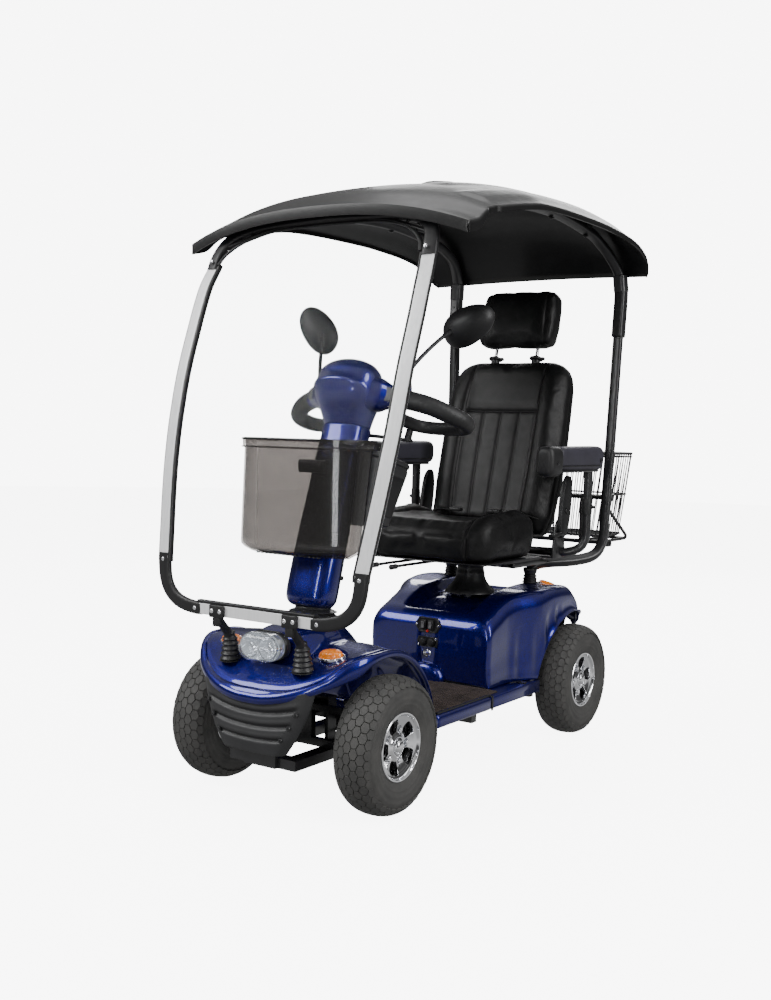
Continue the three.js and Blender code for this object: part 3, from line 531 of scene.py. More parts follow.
def see_through(name, tint, gloss_roughness, body=None, body_share=0.0, edge=1.45, shine=1.0):
    """A thin clear sheet: tinted light passes straight through, with a Fresnel gloss and a little haze."""
    material = bpy.data.materials.new(name)
    material.use_nodes = True
    tree = material.node_tree
    tree.nodes.clear()
    out = tree.nodes.new("ShaderNodeOutputMaterial")
    clear = tree.nodes.new("ShaderNodeBsdfTransparent")
    clear.inputs["Color"].default_value = (*tint, 1)
    haze = tree.nodes.new("ShaderNodeTexNoise")
    haze.inputs["Scale"].default_value = 7
    place = tree.nodes.new("ShaderNodeTexCoord")
    tree.links.new(place.outputs["Object"], haze.inputs["Vector"])
    through = clear.outputs["BSDF"]
    if body is not None:
        solid = tree.nodes.new("ShaderNodeBsdfPrincipled")
        solid.inputs["Base Color"].default_value = (*body, 1)
        solid.inputs["Roughness"].default_value = 0.35
        share = tree.nodes.new("ShaderNodeMapRange")
        share.inputs["To Min"].default_value = body_share * 0.85
        share.inputs["To Max"].default_value = body_share * 1.15
        tree.links.new(haze.outputs["Fac"], share.inputs["Value"])
        mix = tree.nodes.new("ShaderNodeMixShader")
        tree.links.new(share.outputs["Result"], mix.inputs["Fac"])
        tree.links.new(through, mix.inputs[1])
        tree.links.new(solid.outputs["BSDF"], mix.inputs[2])
        through = mix.outputs["Shader"]
    gloss = tree.nodes.new("ShaderNodeBsdfGlossy")
    rough = tree.nodes.new("ShaderNodeMapRange")
    rough.inputs["To Min"].default_value = gloss_roughness
    rough.inputs["To Max"].default_value = gloss_roughness * 1.8
    tree.links.new(haze.outputs["Fac"], rough.inputs["Value"])
    tree.links.new(rough.outputs["Result"], gloss.inputs["Roughness"])
    facing = tree.nodes.new("ShaderNodeLayerWeight")
    facing.inputs["Blend"].default_value = 0.5
    power = tree.nodes.new("ShaderNodeMath")
    power.operation = "POWER"
    power.inputs[1].default_value = 4.0
    strength = tree.nodes.new("ShaderNodeMath")
    strength.operation = "MULTIPLY_ADD"
    strength.inputs[1].default_value = 0.85 * shine
    strength.inputs[2].default_value = ((edge - 1) / (edge + 1)) ** 2 * shine
    tree.links.new(facing.outputs["Facing"], power.inputs[0])
    tree.links.new(power.outputs["Value"], strength.inputs[0])
    top = tree.nodes.new("ShaderNodeMixShader")
    tree.links.new(strength.outputs["Value"], top.inputs["Fac"])
    tree.links.new(through, top.inputs[1])
    tree.links.new(gloss.outputs["BSDF"], top.inputs[2])
    tree.links.new(top.outputs["Shader"], out.inputs["Surface"])
    return material


def amber():
    """Orange lens with a moulded pattern of small lozenges, and a faint uneven painted glow that stands in
    for highlights inside it.
    """
    f = Finish("amber_lens", (1.0, 0.23, 0.01), 0.12, Transmission_Weight=0.25, Coat_Weight=1.0)
    f.tint(f.noise(120, 2), (0.95, 0.16, 0.004), (1.0, 0.34, 0.02))
    # The emission is painted light: an uneven glow standing in for highlights inside the lens, not a lit
    # bulb.
    f.shader.inputs["Emission Color"].default_value = (1.0, 0.26, 0.01, 1)
    f.spread(f.noise(90, 2), 0.05, 0.45, f.shader.inputs["Emission Strength"])
    f.bump(f.cells(260), 0.5, 0.001)
    return f.material


PAINT = painted()
STEEL = coated_steel()
PLASTIC = moulded("black_plastic", (0.009, 0.009, 0.0098), 0.46)
GREY = moulded("grey_plastic", (0.040, 0.042, 0.046), 0.52, 0.3, 420)
DARK_GREY = moulded("dark_grey_plastic", (0.026, 0.0265, 0.028), 0.5, 0.25, 500)
TYRE = rubber("tyre_rubber", (0.052, 0.052, 0.050), 0.74, (0.080, 0.078, 0.074))
GRIP = rubber("grip_rubber", (0.016, 0.016, 0.017), 0.5, (0.026, 0.026, 0.026))
BOOT = rubber("boot_rubber", (0.012, 0.012, 0.013), 0.42, (0.020, 0.020, 0.020))
CHROME = plated()
RAIL = anodised()
LEATHER = leather()
SMOKE = see_through("smoked_plastic", (0.52, 0.505, 0.495), 0.05, (0.085, 0.080, 0.077), 0.16, 1.5, 0.9)
CLEAR = see_through("clear_sheet", (0.985, 0.99, 0.992), 0.02, edge=1.4, shine=0.10)
LAMP_GLASS = see_through("lamp_glass", (0.93, 0.94, 0.95), 0.04, edge=1.5)
AMBER = amber()
TAIL_RED = tail_lens()
MAT = matting()
ROOF = moulded("satin_roof", (0.004, 0.004, 0.0042), 0.36, 0.05, 700, Coat_Weight=0.12, Coat_Roughness=0.16)
ALLOY = moulded("cast_alloy", (0.34, 0.35, 0.36), 0.42, 0.35, 260, Metallic=0.9)
SWITCH_RED = moulded("red_switch", (0.55, 0.02, 0.015), 0.3)
GLASS_BLACK = moulded("gauge_glass", (0.012, 0.013, 0.016), 0.12, 0.0, Coat_Weight=1.0)
ARM_GREY = moulded("armrest_vinyl", (0.034, 0.032, 0.046), 0.55, 0.3, 520)
# Bright metal with a faint painted glow: the emission stands in for reflections in the headlamp's bowls and
# housing.
REFLECTOR_PAINTED_GLOW = moulded("lamp_reflector", (0.84, 0.85, 0.87), 0.07, 0.05, 300, Metallic=1.0,
                    Emission_Color=(0.9, 0.95, 1.0, 1.0), Emission_Strength=0.16)
INSERT_GREY = moulded("insert_grey", (0.12, 0.12, 0.125), 0.5, 0.3, 420)
MIRROR_GLASS = plated()
MIRROR_GLASS.name = "mirror_glass"


# ---- Camera, floor and light ---------------------------------------------------------------------------
def camera():
    """The catalogue view: from the front, half to the rider's left, a little above the basket."""
    yaw, pitch, roll = (math.radians(v) for v in (33.978, 3.321, 1.522))
    ahead = Vector((-math.sin(yaw) * math.cos(pitch), math.cos(yaw) * math.cos(pitch), -math.sin(pitch)))
    right = Vector((math.cos(yaw), math.sin(yaw), 0))
    up = right.cross(ahead)
    right, up = (math.cos(roll) * right + math.sin(roll) * up, math.cos(roll) * up - math.sin(roll) * right)
    data = bpy.data.cameras.new("camera")
    data.sensor_width = 36
    data.lens = 42.82
    data.clip_start, data.clip_end = 0.05, 60
    obj = bpy.data.objects.new("camera", data)
    bpy.context.scene.collection.objects.link(obj)
    turn = Matrix((right, up, -ahead)).transposed().to_4x4()
    obj.matrix_world = Matrix.Translation((1.8742, -3.0790, 0.9509)) @ turn
    bpy.context.scene.camera = obj


def lamp(name, place, target, size, power, colour=(1, 1, 1)):
    """An area lamp that looks at the scooter."""
    data = bpy.data.lights.new(name, "AREA")
    data.shape = "RECTANGLE"
    data.size, data.size_y = size
    data.energy = power
    data.color = colour
    obj = bpy.data.objects.new(name, data)
    bpy.context.scene.collection.objects.link(obj)
    obj.location = place
    obj.rotation_euler = (Vector(target) - Vector(place)).to_track_quat("-Z", "Y").to_euler()
    return obj


def backdrop(name, points, faces, strength):
    """White paper that is seen but doesn't light the scooter; the lamps and the world do that."""
    mesh = bpy.data.meshes.new(name)
    mesh.from_pydata(points, [], faces)
    obj = bpy.data.objects.new(name, mesh)
    bpy.context.scene.collection.objects.link(obj)
    finish = Finish(name, (0.9, 0.9, 0.9), 0.8)
    finish.tint(finish.noise(0.7), (0.895, 0.895, 0.895), (0.905, 0.905, 0.905))
    finish.shader.inputs["Emission Color"].default_value = (1, 1, 1, 1)
    finish.shader.inputs["Emission Strength"].default_value = strength
    mesh.materials.append(finish.material)
    obj.visible_diffuse = False
    obj.visible_glossy = False
    obj.visible_shadow = False


def studio():
    """A white cove with large soft lights and an even fill."""
    world = bpy.data.worlds.new("studio")
    world.use_nodes = True
    tree = world.node_tree
    where = tree.nodes.new("ShaderNodeTexCoord")
    split = tree.nodes.new("ShaderNodeSeparateXYZ")
    height = tree.nodes.new("ShaderNodeMapRange")
    height.inputs["From Min"].default_value = -1
    ramp = tree.nodes.new("ShaderNodeValToRGB")
    ramp.color_ramp.elements[1].position = 1.0
    for at, value in ((0.30, 0.42), (0.40, 0.78), (0.46, 0.45), (0.50, 0.10), (0.58, 0.06), (0.70, 0.24),
                      (0.80, 0.46)):
        ramp.color_ramp.elements.new(at).color = (value, value, value, 1)
    ramp.color_ramp.elements[0].color = (0.32, 0.32, 0.32, 1)
    ramp.color_ramp.elements[len(ramp.color_ramp.elements) - 1].color = (0.50, 0.50, 0.50, 1)
    tree.links.new(where.outputs["Generated"], split.inputs["Vector"])
    tree.links.new(split.outputs["Z"], height.inputs["Value"])
    tree.links.new(height.outputs["Result"], ramp.inputs["Fac"])
    tree.links.new(ramp.outputs["Color"], tree.nodes["Background"].inputs["Color"])
    tree.nodes["Background"].inputs["Strength"].default_value = 0.9
    bpy.context.scene.world = world
    reach = 16.0
    backdrop("floor", [(-reach, -reach, 0), (reach, -reach, 0), (reach, reach, 0), (-reach, reach, 0)],
             [(0, 1, 2, 3)], 7.0)
    turns = np.arange(24) / 24 * TAU
    wall = [(15 * math.cos(a), 15 * math.sin(a), z) for z in (-0.5, 14) for a in turns]
    sides = [(k, (k + 1) % 24, 24 + (k + 1) % 24, 24 + k) for k in range(24)]
    backdrop("backdrop", wall, sides + [tuple(range(24, 48))], 7.6)
    lamp("key_light", (-2.6, -3.4, 3.4), (0, 0, 0.7), (2.6, 2.2), 170)
    lamp("side_light", (3.8, -0.6, 2.6), (0, 0, 0.6), (1.2, 3.2), 120)
    lamp("front_strip", (1.0, -4.6, 1.6), (0, -0.4, 0.5), (0.5, 2.6), 46)
    lamp("top_light", (0, 0.3, 4.6), (0, 0, 0.8), (3.4, 3.4), 62)
    lamp("back_light", (-1.6, 4.2, 2.8), (0, 0, 0.9), (2.8, 2.0), 90)


camera()
studio()


# ---- Front body ----------------------------------------------------------------------------------------
NOSE_Y = -756
NOSE_BACK_Y = -590
NOSE_PLAN = [(0, NOSE_Y), (44, -755), (92, -748), (140, -733), (182, -711), (218, -683), (244, -650),
             (258, -620), (BODY_W, NOSE_BACK_Y)]
CREST = [(NOSE_Y, 306), (-730, 326), (-700, 352), (-675, 372), (-662, 380), (-646, 430), (-630, 441),
         (-600, 447), (-500, 450), (-445, 438), (-400, 396), (-350, 296), (-312, 222), (-293, 207)]
SHOULDER = [(NOSE_Y, 306), (-730, 324), (-700, 349), (-675, 367), (-624, 392), (-560, 411), (-500, 412),
            (-432, 390), (-400, 366), (-350, 290), (-312, 218), (-293, 206)]
FENDER = [(NOSE_Y, 308), (-700, 356), (-655, 394), (-596, 408), (-528, 410), (-470, 400), (-432, 382),
          (-383, 338), (-341, 280), (-312, 214), (-293, 206)]
LAMP = (0, -702, 411)
GUARD_Y = -750
STAY_X = 116
INDICATOR = (159, -627, 398)


def arch_height(y, hub_y=FRONT_Y, radius=ARCH_R):
    """Height of the wheel opening's edge at a place along the side."""
    return TYRE_R + np.sqrt(np.maximum(radius**2 - (np.asarray(y, float) - hub_y) ** 2, 0))


def hood_height(x, y):
    """Top of the front body: a raised middle, a hollow on each side of it, and the fenders."""
    x, y = np.abs(np.asarray(x, float)), np.asarray(y, float)
    flat = y.ravel()
    crest, shoulder, fender = (reading(t, flat).reshape(y.shape) for t in (CREST, SHOULDER, FENDER))
    height = crest + (shoulder - crest) * smooth_step(56, 112, x)
    height += (fender - height) * smooth_step(160, 246, x)
    over_wheel = smooth_step(100, 130, x) * (arch_height(y) + 7)
    return np.maximum(height, over_wheel)


def front_outline():
    """Half of the body's edge seen from above, from the middle of the nose back along the left side."""
    nose = curve([(-44, -755, 0)] + [(x, y, 0) for x, y in NOSE_PLAN] + [(BODY_W, -560, 0)], 90)
    nose = nose[nose[:, 0] >= -0.01]
    nose = nose[nose[:, 1] < NOSE_BACK_Y]
    side = [(BODY_W, y, 0) for y in np.concatenate([np.linspace(NOSE_BACK_Y, -400, 34),
                                                    np.linspace(-396, -325, 24),
                                                    np.linspace(-322, -312.6, 10),
                                                    np.linspace(-311, -293, 6)])]
    half = np.vstack([[(0, NOSE_Y, 0)], nose[1:], side])
    return np.vstack([mirrored(half[:0:-1], -1), half])


def front_shell():
    """The nose, lip, fenders and cowl as one sheet, rolled under at its edge and grooved above the lip."""
    outline = front_outline()
    rows = []
    for x, y, _ in outline:
        spine_y = max(y, -612)
        out = np.array([x, y - spine_y])
        out /= max(np.linalg.norm(out), 1e-6)
        on_nose = y < -590
        lip = 279 + 84 * (x / 265) ** 2
        low = lip + (float(arch_height(y)) - lip) * float(smooth_step(-650, -600, y)) if y < -312 else 165
        top = float(hood_height(x, y))
        top = max(top, low + (26 if on_nose else 9 + 9 * float(smooth_step(-312, -420, y))))
        band = top - low
        row = [(x - out[0] * 14, y - out[1] * 14, low + 3), (x - out[0] * 5, y - out[1] * 5, low - 1.5),
               (x, y, low), (x + out[0] * 2.6, y + out[1] * 2.6, low + band * 0.18),
               (x + out[0] * 4.0, y + out[1] * 4.0, low + band * 0.42),
               (x + out[0] * 3.2, y + out[1] * 3.2, low + band * 0.68),
               (x + out[0] * 0.4, y + out[1] * 0.4, low + band * 0.88),
               (x - out[0] * 4.5, y - out[1] * 4.5, top)]
        groove = float(smooth_step(-312, -380, y))
        for inset, dip in ((9, 0.4), (13, 1.2), (15.5, 4.4), (18, 5.0), (20.5, 3.4), (24, 0.6)):
            px, py = x - out[0] * inset, y - out[1] * inset
            row.append((px, py, max(float(hood_height(px, py)), low + 5) - dip * groove
                        + (2.0 - inset * 0.08)))
        start = np.array([x - out[0] * 30, y - out[1] * 30])
        end = np.array([0.0, spine_y])
        for t in np.linspace(0, 1, 30):
            px, py = start + (end - start) * t
            row.append((px, py, float(hood_height(px, py))))
        rows.append(row)
    part = Part()
    part.sheet(rows, 4.5, side=-1)
    part.build("front_body", "chassis", PAINT, replaces=["front_shell"], subdivide=1, sharp=50)


def front_guard():
    """The dark ribbed guard under the lip, with pressed grooves that end in small bolts."""
    levels = [(300, 178), (285, 175), (262, 167), (224, 146), (192, 125), (170, 109), (160, 101), (156, 95)]
    heights = np.linspace(300, 156, 62)
    halves = reading(sorted(levels), heights)
    grooves = ((258, 0.86), (224, 0.84), (192, 0.80))
    rows = []
    for z, half in zip(heights, halves):
        row = []
        for t in np.linspace(-1, 1, 61):
            x = half * t
            depth = 0.0
            for centre, reach in grooves:
                ends = 1 - smooth_step(reach - 0.10, reach, abs(t))
                rise = z - (centre + 8 * t * t)
                depth += 7.5 * ends * math.exp(-((rise / 5.2) ** 2))
                depth -= 2.0 * ends * math.exp(-(((rise - 11) / 6) ** 2))
            y = GUARD_Y + 19 * (abs(x) / 170) ** 2.2 + 20 * (abs(t) ** 12) + max(0, 200 - z) * 0.14 + depth
            row.append((x, y, z + 24 * (x / 170) ** 2 * smooth_step(160, 300, z)))
        rows.append(row)
    part = Part()
    part.sheet(rows, 5, side=-1)
    part.build("front_guard", "chassis", DARK_GREY, replaces=["front_bumper"], subdivide=1,
               sharp=60)
    bolts = Part()
    for centre, reach in grooves:
        half = float(reading(sorted(levels), centre)[0])
        for side in (-1, 1):
            x = side * half * (reach - 0.02)
            y = GUARD_Y + 19 * (abs(x) / 170) ** 2.2 + max(0, 200 - centre) * 0.14
            bolts.bolt((x, y + 2, centre + 8), (side * 0.3, -1, 0), 5.5, 5)
    bolts.build("guard_bolts", "chassis", STEEL)


def lamp_outline(grow=0.0, count=72):
    """The twin lens seen from the front: two round lobes with a shallow waist."""
    ring = []
    for k in range(count):
        a = k / count * TAU
        c, s = math.cos(a), math.sin(a)
        rx = 62 + grow
        rz = 38 + grow - 5.0 * math.exp(-((c / 0.3) ** 2)) * (1 if s < 0 else 0.5)
        ring.append((rx * np.sign(c) * abs(c) ** 0.78, rz * np.sign(s) * abs(s) ** 0.88))
    return np.array(ring)


def headlamp():
    """Two bright bowls side by side in a housing, behind one clear waisted cover."""
    cx, cy, cz = LAMP
    ring = lamp_outline()
    housing = Part()
    rows = []
    for scale, depth in ((0.30, 36), (0.72, 34), (0.95, 22), (1.0, 6), (1.0, -4), (0.965, -6), (0.95, -2),
                         (0.93, 8), (0.7, 20), (0.3, 24)):
        rows.append([(cx + x * scale, cy + depth, cz + z * scale) for x, z in ring])
    housing.grid(rows, round_rows=True, caps=True)
    # The housing and the bowls carry the reflector finish's faint painted glow.
    housing.build("headlamp_housing", "chassis", REFLECTOR_PAINTED_GLOW, subdivide=1)
    inner = Part()
    for side in (-1, 1):
        centre = (cx + side * 29, cy + 2, cz + 1)
        bowl = [(26.5, -15), (27.5, -14), (27, -8), (24, 2), (18, 10), (9, 14), (7, 14), (7, 8), (5, 4),
                (0.5, 1)]
        rows = []
        turns = np.arange(48) / 48 * TAU
        for r, d in bowl:
            flute = 1 - 0.035 * (np.arange(48) % 4 < 2) * (r > 8)
            rows.append([(centre[0] + r * f * math.cos(a), centre[1] + d, centre[2] + r * f * math.sin(a))
                         for a, f in zip(turns, flute)])
        inner.grid(rows, round_rows=True, caps=False)
        rows = [[(centre[0] + r * math.cos(a), centre[1] + d, centre[2] + r * math.sin(a)) for a in turns]
                for r, d in ((0.3, -8.5), (5, -8), (8, -5), (9, 0), (8, 5), (4, 9), (0.3, 10))]
        inner.grid(rows, round_rows=True, caps=True)
        rows = [[(centre[0] + r * math.cos(a), centre[1] + d, centre[2] + r * math.sin(a)) for a in turns]
                for r, d in ((27.2, -14.6), (29.5, -15.5), (30, -13.5), (29, -8), (27.4, -8.6))]
        inner.grid(rows, round_rows=True, close_columns=True)
    for k in range(9):
        x = cx - 40 + k * 10
        reach = 30 if abs(x) > 22 else 27
        inner.block((x - 0.8, x + 0.8), (cy + 3, cy + 7), (cz - reach, cz + reach), 0.6, 2)
    inner.build("headlamp_reflectors", "chassis", REFLECTOR_PAINTED_GLOW)
    cover = Part()
    rows = []
    for scale, depth in ((1.0, 8), (1.012, 0), (1.012, -8), (0.99, -18), (0.93, -25), (0.82, -29.5),
                         (0.66, -32), (0.45, -33.2), (0.2, -33.8), (0.02, -34)):
        rows.append([(cx + x * scale, cy + depth, cz + z * scale) for x, z in ring])
    cover.sheet([list(row) + [row[0]] for row in rows], 2.0)
    cover.build("headlamp_cover", "chassis", LAMP_GLASS, replaces=["headlamp"], subdivide=1)
    nest = Part()
    rows = []
    for scale, depth in ((0.98, 22), (1.0, 20), (1.015, 24), (1.01, 34), (0.97, 42), (0.5, 46)):
        rows.append([(cx + x * scale, cy + depth, cz + z * scale) for x, z in ring])
    nest.grid(rows, round_rows=True, caps=True)
    nest.build("headlamp_nest", "chassis", PLASTIC, subdivide=1)


def lens_dome(place, rx, ry, height, body, name, finish, replaces=(), lean=0.0, axis_tilt=0.0):
    """An oval lens on its rim, standing on a surface. Ribs are moulded across it."""
    part = Part()
    rows = []
    ring = oval(1, 1, 2.2, 48)
    for scale, up in ((1.0, -8), (1.0, 0), (0.985, height * 0.35), (0.93, height * 0.62),
                      (0.80, height * 0.84), (0.6, height * 0.95), (0.35, height), (0.1, height)):
        rows.append([(x * rx * scale, y * ry * scale, up + (0.5 if (k // 2) % 2 else 0) * (scale > 0.3))
                     for k, (x, y) in enumerate(ring)])
    part.grid(tip(rows, place, lean, axis_tilt), round_rows=True, caps=True)
    made = part.build(name, body, finish, replaces=replaces, subdivide=1)
    rim = Part()
    rows = [[(x * (rx + g), y * (ry + g), up) for x, y in ring]
            for g, up in ((1.0, 3.6), (3.2, 3.0), (4.2, 0.5), (4.4, -7), (0.5, -7), (0.5, 2.5))]
    rim.grid(tip(rows, place, lean, axis_tilt), round_rows=True, close_columns=True)
    rim.build(f"{name}_rim", body, CHROME, subdivide=1)
    return made


def tip(rows, place, lean, side_tilt=0.0):
    """Leans rows of points about X, then about Y, and moves them to a place."""
    sideways = Matrix.Rotation(math.radians(side_tilt), 3, "Y")
    turn = np.array(sideways @ Matrix.Rotation(math.radians(lean), 3, "X"))
    rows = np.asarray(rows, float)
    return rows @ turn.T + np.asarray(place, float)


def bellows(part, foot, top, wide, narrow, rings, neck):
    """A folded rubber boot between two points."""
    foot, top = np.asarray(foot, float), np.asarray(top, float)
    axis = top - foot
    length = np.linalg.norm(axis)
    profile = [(wide * 1.06, 0), (wide * 1.06, length * 0.03)]
    for k in range(rings):
        t0, t1 = (k + 0.15) / rings * 0.82, (k + 0.85) / rings * 0.82
        r = wide + (narrow - wide) * (k + 0.5) / rings
        profile += [(r * 0.80, t0 * length + 1), (r * 0.97, (t0 * 0.65 + t1 * 0.35) * length),
                    (r, (t0 + t1) / 2 * length), (r * 0.97, (t0 * 0.35 + t1 * 0.65) * length)]
    profile += [(neck * 1.15, 0.84 * length), (neck * 1.2, 0.87 * length), (neck * 1.2, 0.98 * length),
                (neck, length)]
    path = np.array([foot + axis * (d / length) for _, d in profile])
    aim = axis / length
    side = np.cross(aim, [0, 0, 1] if abs(aim[2]) < 0.9 else [1, 0, 0])
    side /= np.linalg.norm(side)
    rise = np.cross(side, aim)
    ring = oval(1, 1, sides=32)
    rows = [p + r * (ring[:, :1] * side + ring[:, 1:] * rise) for p, (r, _) in zip(path, profile)]
    part.grid(rows, round_rows=True, caps=True)


def front_stays():
    """Two leaning stays rise from rubber boots in the nose to two-bolt brackets on the windscreen's bar."""
    for label, side in SIDES:
        x = side * STAY_X
        boot = Part()
        bellows(boot, (x, -683, 360), (x, -690, 436), 29, 19, 5, 11)
        boot.build(f"stay_boot_{label}", "chassis", BOOT, subdivide=1)
        stay = Part()
        path = curve([(x, -686, 400), (x, -698, 432), (x, -716, 452), (x, -729, 468), (x, -736, 486)], 24)
        stay.tube(path, np.linspace(12.5, 9.5, 24), sides=20)
        stay.block((x - 24, x + 24), (-745, -736), (474, 506), 7, 4)
        stay.block((x - 13, x + 13), (-744, -734), (452, 480), 6, 4)
        for bolt_x in (x - 13, x + 13):
            stay.bolt((bolt_x, -744.5, 491), (0, -1, 0), 3.4, 1.5)
        stay.build(f"stay_{label}", "chassis", PLASTIC,
                   replaces=[f"windscreen_stay_{label}"], bevel=0.6)
        caps = Part()
        for bolt_x in (x - 13, x + 13):
            caps.bolt((bolt_x, -745, 491), (0, -1, 0), 4.6, 2.6)
        caps.build(f"stay_bolts_{label}", "chassis", CHROME)


def front_fittings():
    """Front indicators, and the folded boot where the column leaves the body."""
    for label, side in SIDES:
        x, y, z = INDICATOR
        lens_dome((side * x, y, z - 3), 34, 20, 17, "chassis", f"indicator_{label}", AMBER,
                  replaces=[f"indicator_front_{label}"], lean=16, axis_tilt=side * -4)
    boot = Part()
    bellows(boot, (0, STEER_Y, 444), (0, STEER_Y + 2, 492), 78, 62, 3, 40)
    boot.build("steering_boot", "chassis", BOOT, subdivide=1)


front_shell()
front_guard()
headlamp()
front_stays()
front_fittings()


# ---- Rear body -----------------------------------------------------------------------------------------
REAR_TOP = [(77, 374), (86, 392), (104, 408), (140, 424), (200, 450), (260, 466), (340, 474), (430, 478),
            (505, 474), (545, 452), (575, 424), (600, 392), (640, 352)]
REAR_HALF = [(77, 204), (90, 211), (185, 211), (215, 215), (245, 224), (275, 239), (300, 251), (325, 258),
             (370, 262), (440, 265), (560, 262), (605, 246), (640, 214)]
REAR_END = 640
FACE_TUCK = (0.0, 0.4, 0.8, 0.95, 0.985)


def rear_low(y):
    """Lower edge of the rear body's side: the foot ledge, the wheel opening, and the tail."""
    if y < 315:
        return 203.0
    if y < REAR_Y + 214:
        return float(arch_height(y, REAR_Y))
    return 300.0


def rear_shell():
    """Walls, shoulders and top of the rear body, with the flares over the wheels and the seat well."""
    stations = np.concatenate([[77, 77, 77, 77.6, 79], np.linspace(83, 300, 34), np.linspace(306, 345, 18),
                               np.linspace(350, 620, 52), [628, 634, 638, REAR_END]])
    rows = []
    for k, y in enumerate(stations):
        half = float(reading(REAR_HALF, y)[0])
        top = float(reading(REAR_TOP, y)[0])
        low = rear_low(y)
        flare = float(smooth_step(318, 372, y))
        shoulder = 46 - 12 * float(smooth_step(300, 400, y))
        right = []
        lip = 7 * flare
        for f, out in ((0.0, lip), (0.03, lip + 1.5), (0.07, lip + 1.0), (0.13, lip * 0.4), (0.22, 0),
                       (0.34, -1.5), (0.48, -2), (0.62, -1), (0.76, 0), (0.90, 0)):
            z = low + (top - shoulder - low) * f
            flute = float(smooth_step(196, 220, y)) * float(smooth_step(470, 400, y))
            wave = math.sin((y - 205) / 58 * TAU)
            crease = 3.4 * flute * math.sin(min(f * 1.15 + 0.12, 1) * math.pi) * wave
            right.append((half + out + crease, z))
        for a in np.linspace(0, 90, 9):
            t = math.radians(a)
            right.append((half - shoulder + shoulder * math.cos(t) ** 0.9,
                          top - shoulder + shoulder * math.sin(t)))
        for x in np.linspace(half - shoulder - 6, 0, 22):
            well = smooth_step(124, 96, abs(x)) * smooth_step(96, 150, y) * smooth_step(560, 520, y)
            well = max(float(well), 0)
            ramp = 1 if y > 170 else float(smooth_step(92, 170, y))
            right.append((x, top - 34 * well * ramp))
        right = np.array(right)
        centre_z = 300
        if k < len(FACE_TUCK):
            right[:, 0] *= FACE_TUCK[k]
            right[:, 1] = centre_z + (right[:, 1] - centre_z) * (1 - 0.02 * (len(FACE_TUCK) - k))
            right[:, 1] = np.maximum(right[:, 1], 203)
        full = [(x, y, z) for x, z in right] + [(-x, y, z) for x, z in right[-2::-1]]
        rows.append(full)
    part = Part()
    part.sheet(rows, 4.5, side=-1)
    return part.build("rear_body", "chassis", PAINT, replaces=["rear_shell"], subdivide=1,
                      sharp=50)


def foot_ledges():
    """The blue foot ledge on each side, from the floor's joint strip back to the wheel opening."""
    for label, side in SIDES:
        outline = [(9.5, 203), (311, 203)] + [(REAR_Y - math.sqrt(ARCH_R**2 - (z - TYRE_R) ** 2), z)
                                             for z in (198, 190, 182, 175, 170, 165)] + [(9.5, 165)]
        rows = []
        for x, grow in ((196, 0.0), (258, 0.0), (262.5, -1.6), (264, -5)):
            rows.append([(side * x, min(max(y, 9.5 - grow), 311 + grow), min(max(z, 165 - grow), 203 + grow))
                         for y, z in outline])
        part = Part()
        part.grid(rows, round_rows=True, caps=True)
        part.build(f"foot_ledge_{label}", "chassis", PAINT, bevel=1.5)
        strip = Part()
        strip.block((side * 265.5 - 3, side * 265.5 + 1), (3.5, 13), (163, 204.5), 1.5, 2)
        strip.block((min(side * 205, side * 262), max(side * 205, side * 262)), (3.5, 12), (202.5, 206),
                    1.5, 2)
        strip.bolt((side * 240, 232, 203), (0, 0, 1), 9, 5)
        strip.block((side * 240 - 16, side * 240 + 16), (222, 242), (202.6, 206.5), 5, 3)
        strip.build(f"ledge_trim_{label}", "chassis", PLASTIC)


def floor():
    """The blue floor tray with rounded skirts, and the brown mat with its grid of raised squares."""
    tray = Part()
    tray.block((-DECK_HALF, DECK_HALF), (-292, 6), (165, 203), 14, 5)
    tray.build("floor_tray", "chassis", PAINT, replaces=["floor_deck"], sharp=50)
    mat = Part()
    mat.block((-250, 250), (-284, 72), (203.2, 206.4), 12, 5)
    step = 13.5
    for i in range(int(486 / step)):
        for j in range(int(338 / step)):
            x, y = -243 + step * (i + 0.5), -276 + step * (j + 0.5)
            mat.grid([[(x + u * s, y + v * s, z) for u, v in ((1, 1), (-1, 1), (-1, -1), (1, -1))]
                      for s, z in ((5.6, 206.2), (4.9, 208.4))], round_rows=True, caps=True)
    mat.build("floor_mat", "chassis", MAT, replaces=["deck_mat"], sharp=30)
    edge = Part()
    for _, side in SIDES:
        edge.tube([(side * 254, y, 205) for y in np.linspace(-280, 4, 20)], 4.2, section=oval(1, 0.8, 3, 16))
    edge.tube([(x, -287, 205.5) for x in np.linspace(-250, 250, 20)], 4.0, section=oval(1, 0.8, 3, 16))
    edge.build("mat_edging", "chassis", BOOT)


def hexagon_plate(part, centre, half_w, half_h, point, depth):
    """A flat six-sided plate on the front face of the rear body."""
    cx, cy, cz = centre
    outline = [(-half_w - point, 0), (-half_w, half_h), (half_w, half_h), (half_w + point, 0),
               (half_w, -half_h), (-half_w, -half_h)]
    rows = [[(cx + x * s, cy - d, cz + z * s) for x, z in outline]
            for s, d in ((1.0, -2), (1.0, depth * 0.7), (0.95, depth), (0.88, depth), (0.86, depth - 1.2))]
    return part.grid(rows, round_rows=True, caps=True)


